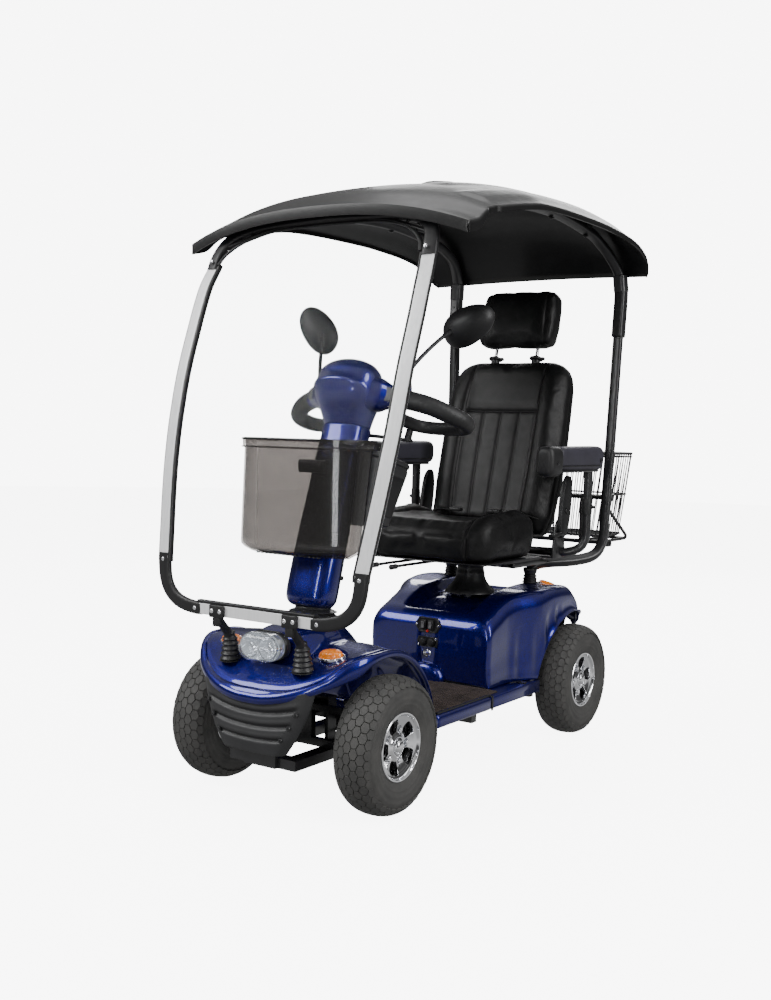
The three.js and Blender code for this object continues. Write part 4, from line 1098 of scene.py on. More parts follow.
def switch_plates():
    """On the front of the rear body: rocker switches, charging sockets, a round lock and the blue boss."""
    y = 77
    plates = Part()
    hexagon_plate(plates, (0, y, 371), 31, 23, 15, 4.5)
    hexagon_plate(plates, (0, y, 320), 33, 15, 3, 4.5)
    for x in (-13, 13):
        plates.block((x - 8.5, x + 8.5), (y - 10, y - 3), (358, 386), 2, 3)
    for x in (-15, 15):
        plates.turned([(11.5, -8.5), (11.5, -3)], (x, y, 320), "y", 28)
        plates.turned([(8.5, -11), (9, -10.5), (9, -6)], (x, y, 320), "y", 28)
    plates.build("switch_plates", "chassis", PLASTIC, replaces=["switch_panel"], bevel=0.5)
    rockers = Part()
    for x in (-13, 13):
        rows = [[(x + u, y - 10.5 - 1.6 * abs(v), 372 + v * 10) for u in (-4.6, 4.6)]
                for v in np.linspace(-1, 1, 7)]
        rockers.sheet(rows, 3, side=-1)
    rockers.build("switch_rockers", "chassis", INSERT_GREY, bevel=0.4)
    dots = Part()
    for x, z in ((-38, 371), (38, 371), (-30, 310), (30, 330)):
        dots.bolt((x, y - 4.4, z), (0, -1, 0), 2.6, 1.4)
    lock = [(13, -1), (13, -4), (11.5, -6), (8.6, -6.6), (8.2, -4.5), (6.8, -4.5), (6.4, -7.5), (0.5, -8)]
    dots.turned(lock[::-1], (0, y, 286), "y", 40)
    dots.build("plate_screws_and_lock", "chassis", CHROME)
    red = Part()
    red.turned([(0.5, -8.2), (3.6, -7.6), (4.4, -4)], (0, y, 353), "y", 20)
    red.build("status_lamp", "chassis", SWITCH_RED)
    boss = Part()
    rows = []
    for d, grow in ((6, 1.0), (-2, 1.0), (-12, 0.96), (-19, 0.86), (-23, 0.70), (-24.5, 0.45), (-25, 0.1)):
        ring = []
        for a in np.linspace(0, math.pi, 33):
            ring.append((62 * grow * math.cos(a), y + d, 205 + 56 * grow * math.sin(a) ** 0.9))
        ring += [(x * grow, y + d, 204.4) for x in np.linspace(-62, 62, 14)[1:-1]]
        rows.append(ring)
    boss.grid(rows, round_rows=True, caps=True)
    boss.build("rear_body_boss", "chassis", PAINT, subdivide=1)


def rear_fittings():
    """Lamps on the tail and fenders, the rear guard, and the rubber cone round the seat post."""
    for label, side in SIDES:
        lens_dome((side * 178, 508, 468), 30, 17, 13, "chassis", f"rear_indicator_{label}",
                  AMBER, lean=-14, axis_tilt=side * 12)
        lens_dome((side * 150, 640, 400), 40, 24, 12, "chassis", f"tail_lamp_{label}", TAIL_RED,
                  lean=62)
        lens_dome((side * 78, 652, 372), 17, 17, 6, "chassis", f"reflector_{label}", TAIL_RED,
                  lean=84)
    cone = Part()
    profile = [(79, 446), (80, 448), (79, 452), (73, 460), (63, 470), (54, 480), (48, 492), (44.5, 506),
               (45.5, 510), (44, 514), (41.5, 524), (42.5, 528), (41, 532), (39, 545), (39, 552.5)]
    cone.turned(profile, (0, 323, 0), "z", 64)
    cone.build("seat_post_cone", "chassis", BOOT, replaces=["seat_post"], subdivide=1)
    guard = Part()
    path = curve([(-150, 640, 300), (-120, 668, 300), (-60, 682, 300), (0, 686, 300), (60, 682, 300),
                  (120, 668, 300), (150, 640, 300)], 60)
    guard.tube(path, 24, section=oval(0.42, 1, 3.5, 28), up=(0, 0, 1))
    for x in (-60, 60):
        guard.block((x - 14, x + 14), (620, 678), (288, 312), 5, 3)
    guard.build("rear_guard", "chassis", DARK_GREY)
    valance = Part()
    rows = [[(x * (1 - 0.10 * v), 632 - 10 * (x / 200) ** 2 - 8 * v, 352 - 96 * v)
             for x in np.linspace(-196, 196, 30)] for v in np.linspace(0, 1, 12)]
    valance.sheet(rows, 4, side=1)
    valance.build("rear_valance", "chassis", PLASTIC)


DECK_HALF = 267
rear_shell()
foot_ledges()
floor()
switch_plates()
rear_fittings()


# ---- Wheels --------------------------------------------------------------------------------------------
TYRE_SIDE = [(83, -36), (86, -41), (92, -45), (102, -49.5), (118, -52.5), (134, -52.5), (147, -49.5),
             (157, -44), (163.5, -35), (167, -24), (168.8, -12), (169.5, 0)]


def tread_surface(across):
    """Radius and side distance of the tyre's crown for a place across it, from -1 to 1."""
    side = np.array([row[1] for row in TYRE_SIDE[6:]], float)
    radius = np.array([row[0] for row in TYRE_SIDE[6:]], float)
    run = np.concatenate([[0], np.cumsum(np.hypot(np.diff(side), np.diff(radius)))])
    at = (1 - abs(across)) * run[-1]
    return float(np.interp(at, run, radius)), float(np.interp(at, run, side)) * (1 if across < 0 else -1)


def tread_block(part, hub, angle, across, turn_span, cross_span, rise):
    """One six-sided tread block, standing on the crown and leaning with it."""
    corners = [(-0.5, -0.25), (-0.5, 0.25), (0.0, 0.5), (0.5, 0.25), (0.5, -0.25), (0.0, -0.5)]
    rows = []
    for lift, scale in ((-1.5, 1.0), (rise * 0.86, 0.985), (rise, 0.93)):
        row = []
        for u, v in corners:
            radius, x = tread_surface(np.clip(across + v * cross_span * scale, -1, 1))
            inner_r, inner_x = tread_surface(np.clip(across + v * cross_span * scale + 0.03, -1, 1))
            outer_r, outer_x = tread_surface(np.clip(across + v * cross_span * scale - 0.03, -1, 1))
            along = np.array([outer_x - inner_x, outer_r - inner_r])
            along /= max(np.linalg.norm(along), 1e-6)
            normal = np.array([-along[1], along[0]])
            if normal[1] < 0:
                normal = -normal
            r, side = radius + normal[1] * lift, x + normal[0] * lift
            a = angle + u * turn_span * scale
            row.append((side, hub[1] + r * math.cos(a), hub[2] + r * math.sin(a)))
        rows.append(row)
    return part.grid(rows, round_rows=True, caps=True)


def tyre_part():
    """Carcass with bead and sidewall ribs, and staggered rows of blocks round the crown."""
    hub = (0, 0, 0)
    part = Part()
    half = np.array(TYRE_SIDE, float)
    fine = even(np.column_stack([half, np.zeros(len(half))]), 40)[:, :2]
    for k, (r, x) in enumerate(fine):
        if 96 < r < 142 and x < -40:
            fine[k, 1] -= 0.9 * (1 if int(r / 5) % 3 == 0 else 0)
    other = fine[-2::-1] * [1, -1]
    inner = [(83, 30), (100, 40), (140, 38), (155, 0), (140, -38), (100, -40), (83, -30)]
    part.ring([*fine, *other, *inner], sides=120)
    count = 40
    rows = ((0.0, 0.0, 0.30), (0.30, 0.5, 0.30), (-0.30, 0.5, 0.30), (0.60, 0.0, 0.30), (-0.60, 0.0, 0.30),
            (0.87, 0.5, 0.25), (-0.87, 0.5, 0.25))
    for across, stagger, span in rows:
        for k in range(count):
            angle = (k + stagger) / count * TAU
            tread_block(part, hub, angle, across, TAU / count * 0.95, span * 1.26, 5.0)
    return part


def rim_profile():
    """Radius and height of the wheel's dished face, from the rim's edge to the hub."""
    return [(84.5, 40), (86, 41.5), (86.5, 43), (85, 44.5), (82, 44.5), (79.5, 42), (77.5, 38), (75, 36.5),
            (70, 36), (66, 34.5), (60, 31.5), (50, 29), (40, 28.5), (32, 30), (27, 33), (24, 34), (22, 34)]


def rim_object(name):
    """The five-window chrome wheel, with its nuts, hub cap and valve."""
    part = Part()
    face = rim_profile()
    under = [(22, 20), (60, 20), (70, 26), (74, 28), (74, -30), (78, -38), (84.5, -40), (81, -36),
             (78.5, -20), (78.5, 30), (80, 38)]
    part.ring(face + under, sides=120)
    rim = bare(part, name)
    windows = Part()
    for k in range(5):
        middle_angle = (k + 0.25) / 5 * TAU
        outline = []
        for r, spread in ((36, 10.5), (37, 6), (37, -6), (36, -10.5), (42, -15.5), (52, -18.5), (62, -20),
                          (67, -17.5), (69.5, -10), (70, 0), (69.5, 10), (67, 17.5), (62, 20), (52, 18.5),
                          (42, 15.5)):
            outline.append((r, spread))
        rows = []
        for x, grow in ((60, 1.16), (36, 1.07), (31, 1.0), (10, 0.96)):
            row = []
            for r, spread in outline:
                radial = 54 + (r - 54) * grow
                a = middle_angle
                row.append((x, radial * math.cos(a) - spread * grow * math.sin(a),
                            radial * math.sin(a) + spread * grow * math.cos(a)))
            rows.append(row)
        windows.grid(rows, round_rows=True, caps=True)
        nut_angle = middle_angle + TAU / 10
        cy, cz = 41.5 * math.cos(nut_angle), 41.5 * math.sin(nut_angle)
        windows.turned([(9.5, 22), (10.5, 26), (11.5, 60)], (0, cy, cz), sides=24)
        for slot in (-1, 1):
            a = middle_angle + slot * TAU / 28
            rows = []
            for x in (60, 40.4):
                row = [(x, (80.6 + u * 1.7) * math.cos(a + v * 0.085),
                        (80.6 + u * 1.7) * math.sin(a + v * 0.085)) for u, v in oval(1, 1, 3, 16)]
                rows.append(row)
            windows.grid(rows, round_rows=True, caps=True)
    tool = bare(windows, "windows")
    to_axle = Matrix.Translation((0, -MID_Y * 0.001, 0))
    rim.data.transform(to_axle)
    tool.data.transform(to_axle)
    cut(rim, tool)
    change(rim, "BEVEL", width=0.0011, segments=2, limit_method="ANGLE", angle_limit=math.radians(38))
    return rim


def wheel_trim():
    """Wheel nuts and the hub cap."""
    part = Part()
    part.turned([(21.5, 20), (21.5, 33), (20.5, 36), (17, 37.5), (16, 40), (14, 42.5), (9, 44), (0.5, 44.5)],
                sides=48)
    for k in range(5):
        a = (k + 0.25) / 5 * TAU + TAU / 10
        cy, cz = 41.5 * math.cos(a), 41.5 * math.sin(a)
        part.turned([(8.6, 22), (8.6, 25), (6.6, 26)], (0, cy, cz), sides=24)
        part.turned([(6.4, 25), (6.4, 33), (5.6, 34), (0.5, 34.4)], (0, cy, cz), sides=6)
    return part


def wheel_shadow():
    """Brake drum and the dark backing seen through the windows."""
    part = Part()
    part.turned([(72, -24), (72, 8), (64, 12), (40, 13), (30, 17), (14, 18)], sides=64)
    for k in range(8):
        a = k / 8 * TAU
        cy, cz = 55 * math.cos(a), 55 * math.sin(a)
        part.turned([(4.5, 8), (4.5, 15.5), (3, 16.5)], (0, cy, cz), sides=12)
    return part


def valve():
    """The valve stem and its cap."""
    part = Part()
    part.tube([(30, 0, 72), (36, 0, 70), (42, 0, 69)], [3.0, 2.6, 2.6], sides=14)
    part.tube([(41, 0, 69.1), (46, 0, 68.6)], 3.2, sides=14)
    return part


def loose(part, name):
    """A bare mesh of a part, moved so that the axle is at the origin."""
    made = bare(part, name)
    made.data.transform(Matrix.Translation((0, -MID_Y * 0.001, 0)))
    return made


def wheels():
    """A tyre, a rim and its trim at each corner."""
    pieces = [
        ("tyre", loose(tyre_part(), "tyre_mesh"), "tyre_rubber", TYRE, "tyre", 30),
        ("rim", rim_object("rim_mesh"), "chrome", CHROME, "rim", 32),
        ("hub_cap_and_nuts", loose(wheel_trim(), "trim_mesh"), "chrome", CHROME, None, 35),
        ("brake_drum", loose(wheel_shadow(), "drum_mesh"), "black_steel", STEEL, None, 35),
        ("valve", loose(valve(), "valve_mesh"), "cast_alloy", BOOT, None, 35),
    ]
    for end, y in (("front", FRONT_Y), ("rear", REAR_Y)):
        for label, side in SIDES:
            turn = Matrix.Rotation(0 if side > 0 else math.pi, 4, "Z")
            spin = Matrix.Rotation(0.35 if end == "front" else 1.1, 4, "X")
            where = Matrix.Translation((side * TRACK_X * 0.001, (y + MID_Y) * 0.001, TYRE_R * 0.001))
            for kind, master, slot, finish, node, sharp in pieces:
                obj = bpy.data.objects.new(f"{kind}_{end}_{label}_piece", master.data)
                bpy.context.scene.collection.objects.link(obj)
                obj.matrix_world = where @ turn @ (Matrix() if kind == "tyre" else spin)
                replaced = [f"{node}_{end}_{label}"] if node else ()
                settle(obj, f"wheel_{end}_{label}", finish, replaced, sharp=sharp)
    for _, master, *_ in pieces:
        bpy.data.objects.remove(master)


wheels()


# ---- Seat ----------------------------------------------------------------------------------------------
def puff(obj, pressure=4.0, cap=0.022, voxel=0.0055, frames=20):
    """Swells a closed skin with Blender's cloth, and holds each point within the cap of where it began."""
    change(obj, "REMESH", mode="VOXEL", voxel_size=voxel)
    start = np.array([v.co for v in obj.data.vertices], float)
    modifier = obj.modifiers.new("cloth", "CLOTH")
    modifier.settings.use_pressure = True
    modifier.settings.uniform_pressure_force = pressure
    modifier.settings.effector_weights.gravity = 0
    modifier.settings.tension_stiffness = 40
    modifier.settings.compression_stiffness = 40
    modifier.settings.bending_stiffness = 2
    modifier.point_cache.frame_end = frames
    scene = bpy.context.scene
    for step in range(1, frames + 1):
        scene.frame_set(step)
    apply_all(obj)
    scene.frame_set(1)
    end = np.array([v.co for v in obj.data.vertices], float)
    move = end - start
    length = np.linalg.norm(move, axis=1, keepdims=True)
    end = start + move * np.minimum(1, cap / np.maximum(length, 1e-9))
    obj.data.vertices.foreach_set("co", end.ravel())
    change(obj, "SMOOTH", factor=0.5, iterations=6)


def local_points(obj, place):
    """The object's points in a group's own axes, in millimetres."""
    points = np.array([v.co for v in obj.data.vertices], float) * 1000 - [0, MID_Y, 0] - place.origin
    return points @ place.turn.T


def set_local(obj, points, place):
    """Moves the points of a mesh to new places, given in a leaning group."""
    world = (place.at(points) + [0, MID_Y, 0]) * 0.001
    obj.data.vertices.foreach_set("co", world.ravel())
    obj.data.update()


def valley(distance, depth, width):
    """A sewn seam: a narrow crease with a soft pull on each side of it."""
    d = np.abs(distance)
    return depth * (0.55 * np.exp(-((d / width) ** 2)) + 0.45 * np.exp(-((d / (width * 3.2)) ** 2)))


PANEL_X = 156


def cushion():
    """Seat cushion: a flat middle between raised bolsters, deep at the front, pulled in at its seams."""
    levels = [(577, 206, 8, 366), (586, 219, 2, 372), (610, 228, 4, 375), (640, 231, 5, 375),
              (664, 229, 9, 373), (678, 222, 18, 369), (686, 206, 36, 358)]
    rings = []
    for z, half, front, back in levels:
        rx, ry = half, (back - front) / 2
        cy = (back + front) / 2
        rings.append([(x, cy + y, z) for x, y in oval(rx, ry, 5.5, 72)])
    part = Part()
    part.grid(rings, round_rows=True, caps=True)
    obj = bare(part, "seat_cushion_pad")
    change(obj, "TRIANGULATE")
    puff(obj, 4.0, 0.010)
    change(obj, "SUBSURF", levels=1, render_levels=1)
    p = local_points(obj, UPRIGHT)
    x, y, z = p.T
    on_top = smooth_step(640, 668, z)
    bolster = smooth_step(120, 196, np.abs(x)) * smooth_step(-20, 120, y) * on_top
    rear = 1 - 0.35 * smooth_step(240, 360, y)
    hump = np.exp(-(((y - 235) / 95) ** 2))
    lift = (18 + 12 * hump) * bolster * rear
    dish = -9 * on_top * (1 - smooth_step(90, 170, np.abs(x))) * smooth_step(30, 130, y)
    front_drop = -10 * on_top * smooth_step(70, 0, y)
    pz = z + lift + dish + front_drop
    seam_x = PANEL_X - 10 * smooth_step(120, 360, y)
    on_front = smooth_step(60, 20, y)
    corner_seam = valley(np.abs(x) - seam_x, 6.5, 2.2)
    pz = pz - corner_seam * on_top
    py = y + corner_seam * on_front * (1 - on_top) * 0.9
    wrinkle = 1.1 * np.sin(x / 13 + 2 * np.sin(y / 31)) * np.exp(-((np.abs(x) - seam_x) / 26) ** 2)
    pz = pz + wrinkle * on_top * 0.6
    low = smooth_step(590, 577, z)
    pz = np.where(low > 0.5, np.maximum(pz, 575.8), pz)
    set_local(obj, np.stack([x, py, pz], axis=1), UPRIGHT)
    settle(obj, "seat", LEATHER, ["seat_cushion"], sharp=180)
    piping = Part()
    for side in (-1, 1):
        path = curve([(side * (PANEL_X + 1), 3, 592), (side * (PANEL_X + 1), -5, 630),
                      (side * PANEL_X, 1, 664), (side * (PANEL_X - 1), 30, 681)], 30)
        piping.tube(path, 1.7, sides=8)
    piping.build("cushion_piping", "seat", LEATHER)


BACK_TOP = 572


def seat_back():
    """The seat's back: side bolsters, a plain upper panel, and four sewn channels below its cross seam."""
    levels = [(-12, 190, 34), (0, 205, 44), (40, 220, 50), (150, 229, 51), (300, 231, 51), (410, 226, 49),
              (480, 222, 45), (520, 213, 41), (545, 199, 36), (560, 180, 30), (BACK_TOP, 152, 20)]
    rings = [[(x, y, z) for x, y in oval(half, deep, 4.2, 80)] for z, half, deep in levels]
    part = Part(BACK)
    part.grid(rings, round_rows=True, caps=True)
    obj = bare(part, "seat_back_pad")
    change(obj, "TRIANGULATE")
    puff(obj, 4.0, 0.009)
    change(obj, "SUBSURF", levels=1, render_levels=1)
    p = local_points(obj, BACK)
    x, y, z = p.T
    ax = np.abs(x)
    front = smooth_step(8, -26, y)
    panel = 132 - 8 * smooth_step(200, 20, z)
    inside = smooth_step(panel + 8, panel - 14, ax)
    bolster = np.exp(-(((ax - 168) / 42) ** 2)) * smooth_step(-10, 60, z) * smooth_step(560, 400, z)
    py = y - 15 * bolster * front + 7 * inside * front * smooth_step(-20, 80, z) * smooth_step(600, 480, z)
    cross = 386
    lower = smooth_step(cross + 2, cross - 6, z)
    seams = valley(ax - panel, 6.0, 2.3) * smooth_step(BACK_TOP, 520, z)
    seams += valley(z - cross, 5.0, 2.2) * smooth_step(panel + 3, panel - 5, ax)
    for line in (0.0, 0.5):
        seams += valley(ax - panel * line, 2.6, 1.8) * lower
    swell = 1.1 * np.abs(np.sin(np.pi * ax / (panel * 0.5))) * lower * inside
    upper_swell = 3.0 * smooth_step(cross + 2, cross + 40, z) * inside
    side_seam = valley(y + 4 - 6 * smooth_step(0, 500, z), 3.0, 2.4) * smooth_step(180, 214, ax)
    py = py + front * (seams - swell - upper_swell)
    px = x - np.sign(x) * side_seam
    rear = smooth_step(12, 34, y)
    py = py - rear * (3.5 * np.exp(-(((ax - 120) / 7) ** 2)) + 3.5 * np.exp(-(((z - 60) / 7) ** 2)))
    set_local(obj, np.stack([px, py, z], axis=1), BACK)
    settle(obj, "backrest", LEATHER, ["seat_back"], sharp=180)


HEAD_POST = (76, -12)


def headrest():
    """A rounded cushion on two bright posts with sleeves."""
    levels = [(615, 112, 25), (620, 127, 35), (636, 135, 40), (680, 139, 42), (740, 138, 42), (784, 133, 39),
              (799, 121, 31), (804, 106, 22)]
    rings = [[(x, y - 21, z) for x, y in oval(half, deep, 5.5, 56)] for z, half, deep in levels]
    part = Part(BACK)
    part.grid(rings, round_rows=True, caps=True)
    obj = bare(part, "headrest_pad")
    change(obj, "TRIANGULATE")
    puff(obj, 4.0, 0.007)
    change(obj, "SUBSURF", levels=1, render_levels=1)
    p = local_points(obj, BACK)
    x, y, z = p.T
    ax = np.abs(x)
    seam = valley(ax - 112 + 5 * smooth_step(640, 800, z), 4.0, 2.2)
    centre = np.array([0, -21, 708])
    out = p - centre
    out[:, 0] *= 0.15
    length = np.linalg.norm(out, axis=1, keepdims=True)
    p = p - out / np.maximum(length, 1e-6) * seam[:, None]
    p[:, 1] += 5 * smooth_step(100, 0, ax) * smooth_step(-30, -60, y)
    set_local(obj, p, BACK)
    settle(obj, "headrest", LEATHER, ["headrest"], sharp=180)
    posts = Part(BACK)
    for side in (-1, 1):
        posts.tube([(side * HEAD_POST[0], HEAD_POST[1], z) for z in np.linspace(470, 640, 8)], 5.4, sides=20)
        for k in range(4):
            z = 592 + 9 * k
            posts.turned([(5.5, 0), (5.9, 1), (5.5, 2)], (side * HEAD_POST[0], HEAD_POST[1], z), "z", 20)
    posts.build("headrest_posts", "headrest", CHROME)
    sleeves = Part(BACK)
    for side in (-1, 1):
        x, y = side * HEAD_POST[0], HEAD_POST[1]
        sleeves.turned([(12, 556), (14, 560), (14, 572), (22, 574), (23, 577), (21.5, 581), (13, 583),
                        (11, 586), (6.0, 586.5)], (x, y, 0), "z", 32)
        sleeves.block((x + 14, x + 30), (y - 7, y + 7), (573, 582), 4, 3)
    sleeves.build("headrest_sleeves", "backrest", PLASTIC)


def recliners():
    """Oval hinge covers and the recline lever beside the back's lower corners, and the belt's buckles."""
    for label, side in SIDES:
        cover = Part()
        rows = []
        for out, grow in ((0, 0.96), (1.5, 1.0), (9, 1.0), (12.5, 0.95), (14.5, 0.84), (15, 0.5)):
            ring = oval(34, 98, 2.5, 56)
            rows.append([(side * (250 + out), 458 + u * grow + v * grow * 0.14, 728 + v * grow)
                         for u, v in ring])
        cover.grid(rows, round_rows=True, caps=True)
        cover.turned([(9, 264), (9, 267.5), (7, 269), (0.5, 269.4)] if side > 0 else
                     [(0.5, -269.4), (7, -269), (9, -267.5), (9, -264)], (0, 452, 716), sides=24)
        cover.build(f"recliner_cover_{label}", "seat", PLASTIC, bevel=0.5)
    arm = Part()
    path = curve([(262, 430, 640), (270, 408, 646), (277, 378, 648), (280, 340, 645), (280, 322, 644)], 20)
    arm.tube(path, np.linspace(7, 12, 20), section=oval(1, 0.6, 3, 20))
    arm.build("recline_lever", "seat", PLASTIC)
    belt = Part()
    web = [(-190, 398, 690), (-150, 372, 702), (-110, 352, 704), (-78, 340, 703)]
    for side in (-1, 1):
        path = curve([(side * -x if side > 0 else x, y, z) for x, y, z in web], 26)
        belt.tube(path, 19, section=oval(1, 0.07, 5, 20), up=(0, 0, 1))
    belt.build("belt_webbing", "seat", BOOT)
    buckle = Part()
    buckle.block((48, 92), (324, 350), (699, 714), 6, 4)
    buckle.block((-92, -50), (326, 350), (700, 712), 5, 4)
    buckle.block((56, 74), (318, 326), (703, 711), 3, 3)
    buckle.build("belt_buckles", "seat", PLASTIC, bevel=0.5)


cushion()
seat_back()
headrest()
recliners()


# ---- Windscreen ----------------------------------------------------------------------------------------
# Half width to the rail's middle, y of the front face and z, from the lower corner up to the roof.
SCREEN = [(612, 313, -730), (687, 322, -717), (768, 332, -703), (865, 342, -685), (976, 350, -661),
          (1092, 353, -633), (1213, 354, -594), (1319, 352, -557), (1384, 343, -526)]
RAIL_WIDE = 36
RAIL_DEEP = 14


def screen_line(heights):
    """Half width and y of the rail's front face at the given heights."""
    return reading(SCREEN, heights)


def flat_section(wide, deep, power=6, sides=24):
    return oval(wide / 2, deep / 2, power, sides)


def ribbon(part, path, wide, deep, facing, power=7, sides=28):
    """A flat bar along a path. Its broad face looks along facing, one direction or one a point."""
    path = np.asarray(path, float)
    facing = np.broadcast_to(np.asarray(facing, float), path.shape)
    wide = np.broadcast_to(np.asarray(wide, float), (len(path),))
    ahead = np.gradient(path, axis=0)
    ahead /= np.linalg.norm(ahead, axis=1, keepdims=True)
    front = facing - ahead * np.sum(facing * ahead, axis=1, keepdims=True)
    front /= np.linalg.norm(front, axis=1, keepdims=True)
    across = np.cross(ahead, front)
    rows = []
    for k in range(len(path)):
        ring = flat_section(wide[k], deep, power, sides)
        rows.append(path[k] + ring[:, :1] * across[k] + ring[:, 1:] * front[k])
    return part.grid(rows, round_rows=True, caps=True)


def screen_rails():
    """The side rails of the windscreen with their black edge strips."""
    heights = np.linspace(600, 1386, 60)
    line = screen_line(heights)
    for label, side in SIDES:
        path = np.stack([side * line[:, 0], line[:, 1] + RAIL_DEEP / 2, heights], axis=1)
        rail = Part()
        ribbon(rail, path, RAIL_WIDE, RAIL_DEEP, (side * 0.12, -1, 0.05), 9, 36)
        rail.build(f"rail_{label}", "chassis", RAIL, replaces=[f"windscreen_rail_{label}"])
        strip = Part()
        inner = path.copy()
        inner[:, 0] -= side * (RAIL_WIDE / 2 + 2.5)
        inner[:, 1] -= 1.0
        ribbon(strip, inner, 7.5, 15, (0, -1, 0.05), 4, 20)
        outer = path.copy()
        outer[:, 0] += side * (RAIL_WIDE / 2 + 0.2)
        ribbon(strip, outer, 2.2, 10, (0, -1, 0.05), 3, 12)
        strip.build(f"rail_seal_{label}", "chassis", BOOT)


def screen_sheet():
    """The clear sheet: curved back towards the roof, with rounded lower corners."""
    top = [(1384, 322, -521), (1412, 312, -507), (1444, 278, -486), (1468, 232, -468), (1478, 190, -462)]
    heights = np.linspace(612, 1384, 56)
    line = screen_line(heights)
    levels = [(z, half - RAIL_WIDE / 2 - 1, y + 6) for z, (half, y) in zip(heights, line)]
    bottom = [(508, 178, -727), (512, 210, -727), (521, 236, -727), (540, 262, -727), (566, 281, -726),
              (590, 292, -725)]
    rows = []
    for z, half, y in bottom + levels + top[1:]:
        bow = 14 * smooth_step(560, 900, z)
        rows.append([(half * t, y - bow * (1 - t * t), z) for t in np.linspace(-1, 1, 31)])
    part = Part()
    part.sheet(rows, 3.2, side=-1)
    part.build("windscreen_sheet", "chassis", CLEAR, replaces=["windscreen_panel"],
               subdivide=1)


def corner_path(side):
    """The lower bend, from a side rail into the bottom bar."""
    points = [(312, -723, 622), (311, -724, 590), (305, -725, 556), (290, -726, 528), (264, -727, 507),
              (232, -728, 496), (196, -728, 491), (176, -728, 491)]
    return curve([(side * x, y, z) for x, y, z in points], 44)


def screen_frame():
    """Black corner pieces, the silver lower bar with its black strip, and the arched frame under the roof."""
    lower = Part()
    for _, side in SIDES:
        ribbon(lower, corner_path(side), np.interp(np.linspace(0, 1, 44), [0, 0.5, 1], [39, 35, 33]), 18,
               (0, -1, 0), 3.4, 32)
    ribbon(lower, [(x, -728, 509) for x in np.linspace(-186, 186, 24)], 9, 17, (0, -1, 0), 4, 20)
    lower.build("windscreen_corners", "chassis", PLASTIC,
                replaces=["windscreen_bottom_frame"])
    bar = Part()
    ribbon(bar, [(x, -729.5, 491) for x in np.linspace(-181, 181, 30)], 28, 13, (0, -1, 0), 12, 44)
    bar.build("windscreen_lower_bar", "chassis", RAIL)
    bolts = Part()
    for _, side in SIDES:
        bolts.bolt((side * 194, -737, 491), (0, -1, 0), 4.2, 2.4)
        bolts.bolt((side * 311, -733, 606), (side * 0.1, -1, 0), 4.2, 2.4)
        bolts.bolt((side * 342, -536, 1394), (side * 0.1, -1, 0.1), 4.2, 2.4)
    bolts.build("windscreen_bolts", "chassis", CHROME)
    arch = Part()
    for _, side in SIDES:
        path = curve([(side * x, y, z) for x, y, z in
                      [(345, -526, 1372), (343, -516, 1400), (336, -501, 1430), (318, -486, 1456),
                       (284, -472, 1476), (230, -464, 1488), (150, -460, 1494), (0, -458, 1497)]], 60)
        ribbon(arch, path, np.interp(np.linspace(0, 1, 60), [0, 0.12, 0.5, 1], [40, 38, 32, 30]), 20,
               np.linspace([side * 0.2, -1, 0.2], [0, -0.6, 0.8], 60), 3.2, 32)
        gusset = [(side * x, y, z) for x, y, z in [(326, -498, 1432), (268, -486, 1452), (196, -470, 1474),
                                                   (120, -462, 1484)]]
        ribbon(arch, curve(gusset, 30), 11, 12, (0, -0.7, 0.7), 3, 20)
        for x, z, y in ((246, 1466, -478), (286, 1462, -484)):
            arch.tube([(side * x, y, z - 6), (side * (x + 8), y + 6, z + 14)], 5, sides=12)
    arch.build("windscreen_arch", "chassis", PLASTIC, replaces=["windscreen_top_frame"])
    seal = Part()
    tops = []
    for side in (1, -1):
        points = [(side * x, y, z) for x, y, z in [(322, -530, 1384), (311, -514, 1412), (277, -494, 1442),
                                                   (231, -478, 1463), (160, -469, 1476), (60, -465, 1480)]]
        tops += points if side > 0 else points[::-1]
    seal.tube(curve(tops, 80), 6, section=oval(1, 0.7, 2, 12))
    seal.build("windscreen_top_seal", "chassis", BOOT)


# ---- Roof ----------------------------------------------------------------------------------------------
ROOF_MIDDLE = [(-540, 1511), (-480, 1548), (-390, 1577), (-300, 1601), (-150, 1630), (0, 1654), (125, 1669),
               (250, 1679), (360, 1682), (450, 1676), (530, 1660), (600, 1632), (650, 1600), (690, 1562),
               (720, 1518), (735, 1488)]
ROOF_EDGE = [(-540, 1449), (-480, 1463), (-396, 1494), (-340, 1508), (-300, 1517), (-200, 1537), (-75, 1556),
             (100, 1564), (281, 1566), (450, 1560), (585, 1546), (650, 1526), (690, 1506), (735, 1479)]
ROOF_HALF = [(-540, 438), (-480, 437), (-396, 431), (-200, 426), (0, 424), (300, 421), (500, 418), (600, 414),
             (690, 407), (720, 400), (735, 390)]


def roof_height(x, y):
    """Height of the roof over a place."""
    middle_z, edge_z, half = (float(reading(t, y)[0]) for t in (ROOF_MIDDLE, ROOF_EDGE, ROOF_HALF))
    t = min(abs(x) / half, 1)
    z = middle_z - (middle_z - edge_z) * t**2.5
    step = 15 * float(smooth_step(-372, -340, y)) * float(smooth_step(620, 540, y))
    z += step * float(smooth_step(0.70, 0.80, t)) * (1 - 0.75 * float(smooth_step(0.88, 0.97, t))) * 0.5
    rib = float(smooth_step(-300, -220, y)) * float(smooth_step(560, 480, y))
    z += 5.0 * rib * math.exp(-(((abs(x) - 190) / 36) ** 4))
    scoop = math.exp(-(((abs(x) - 96) / 34) ** 4))
    scoop *= float(smooth_step(-148, -120, y)) * float(smooth_step(20, -60, y))
    return z + 9 * scoop


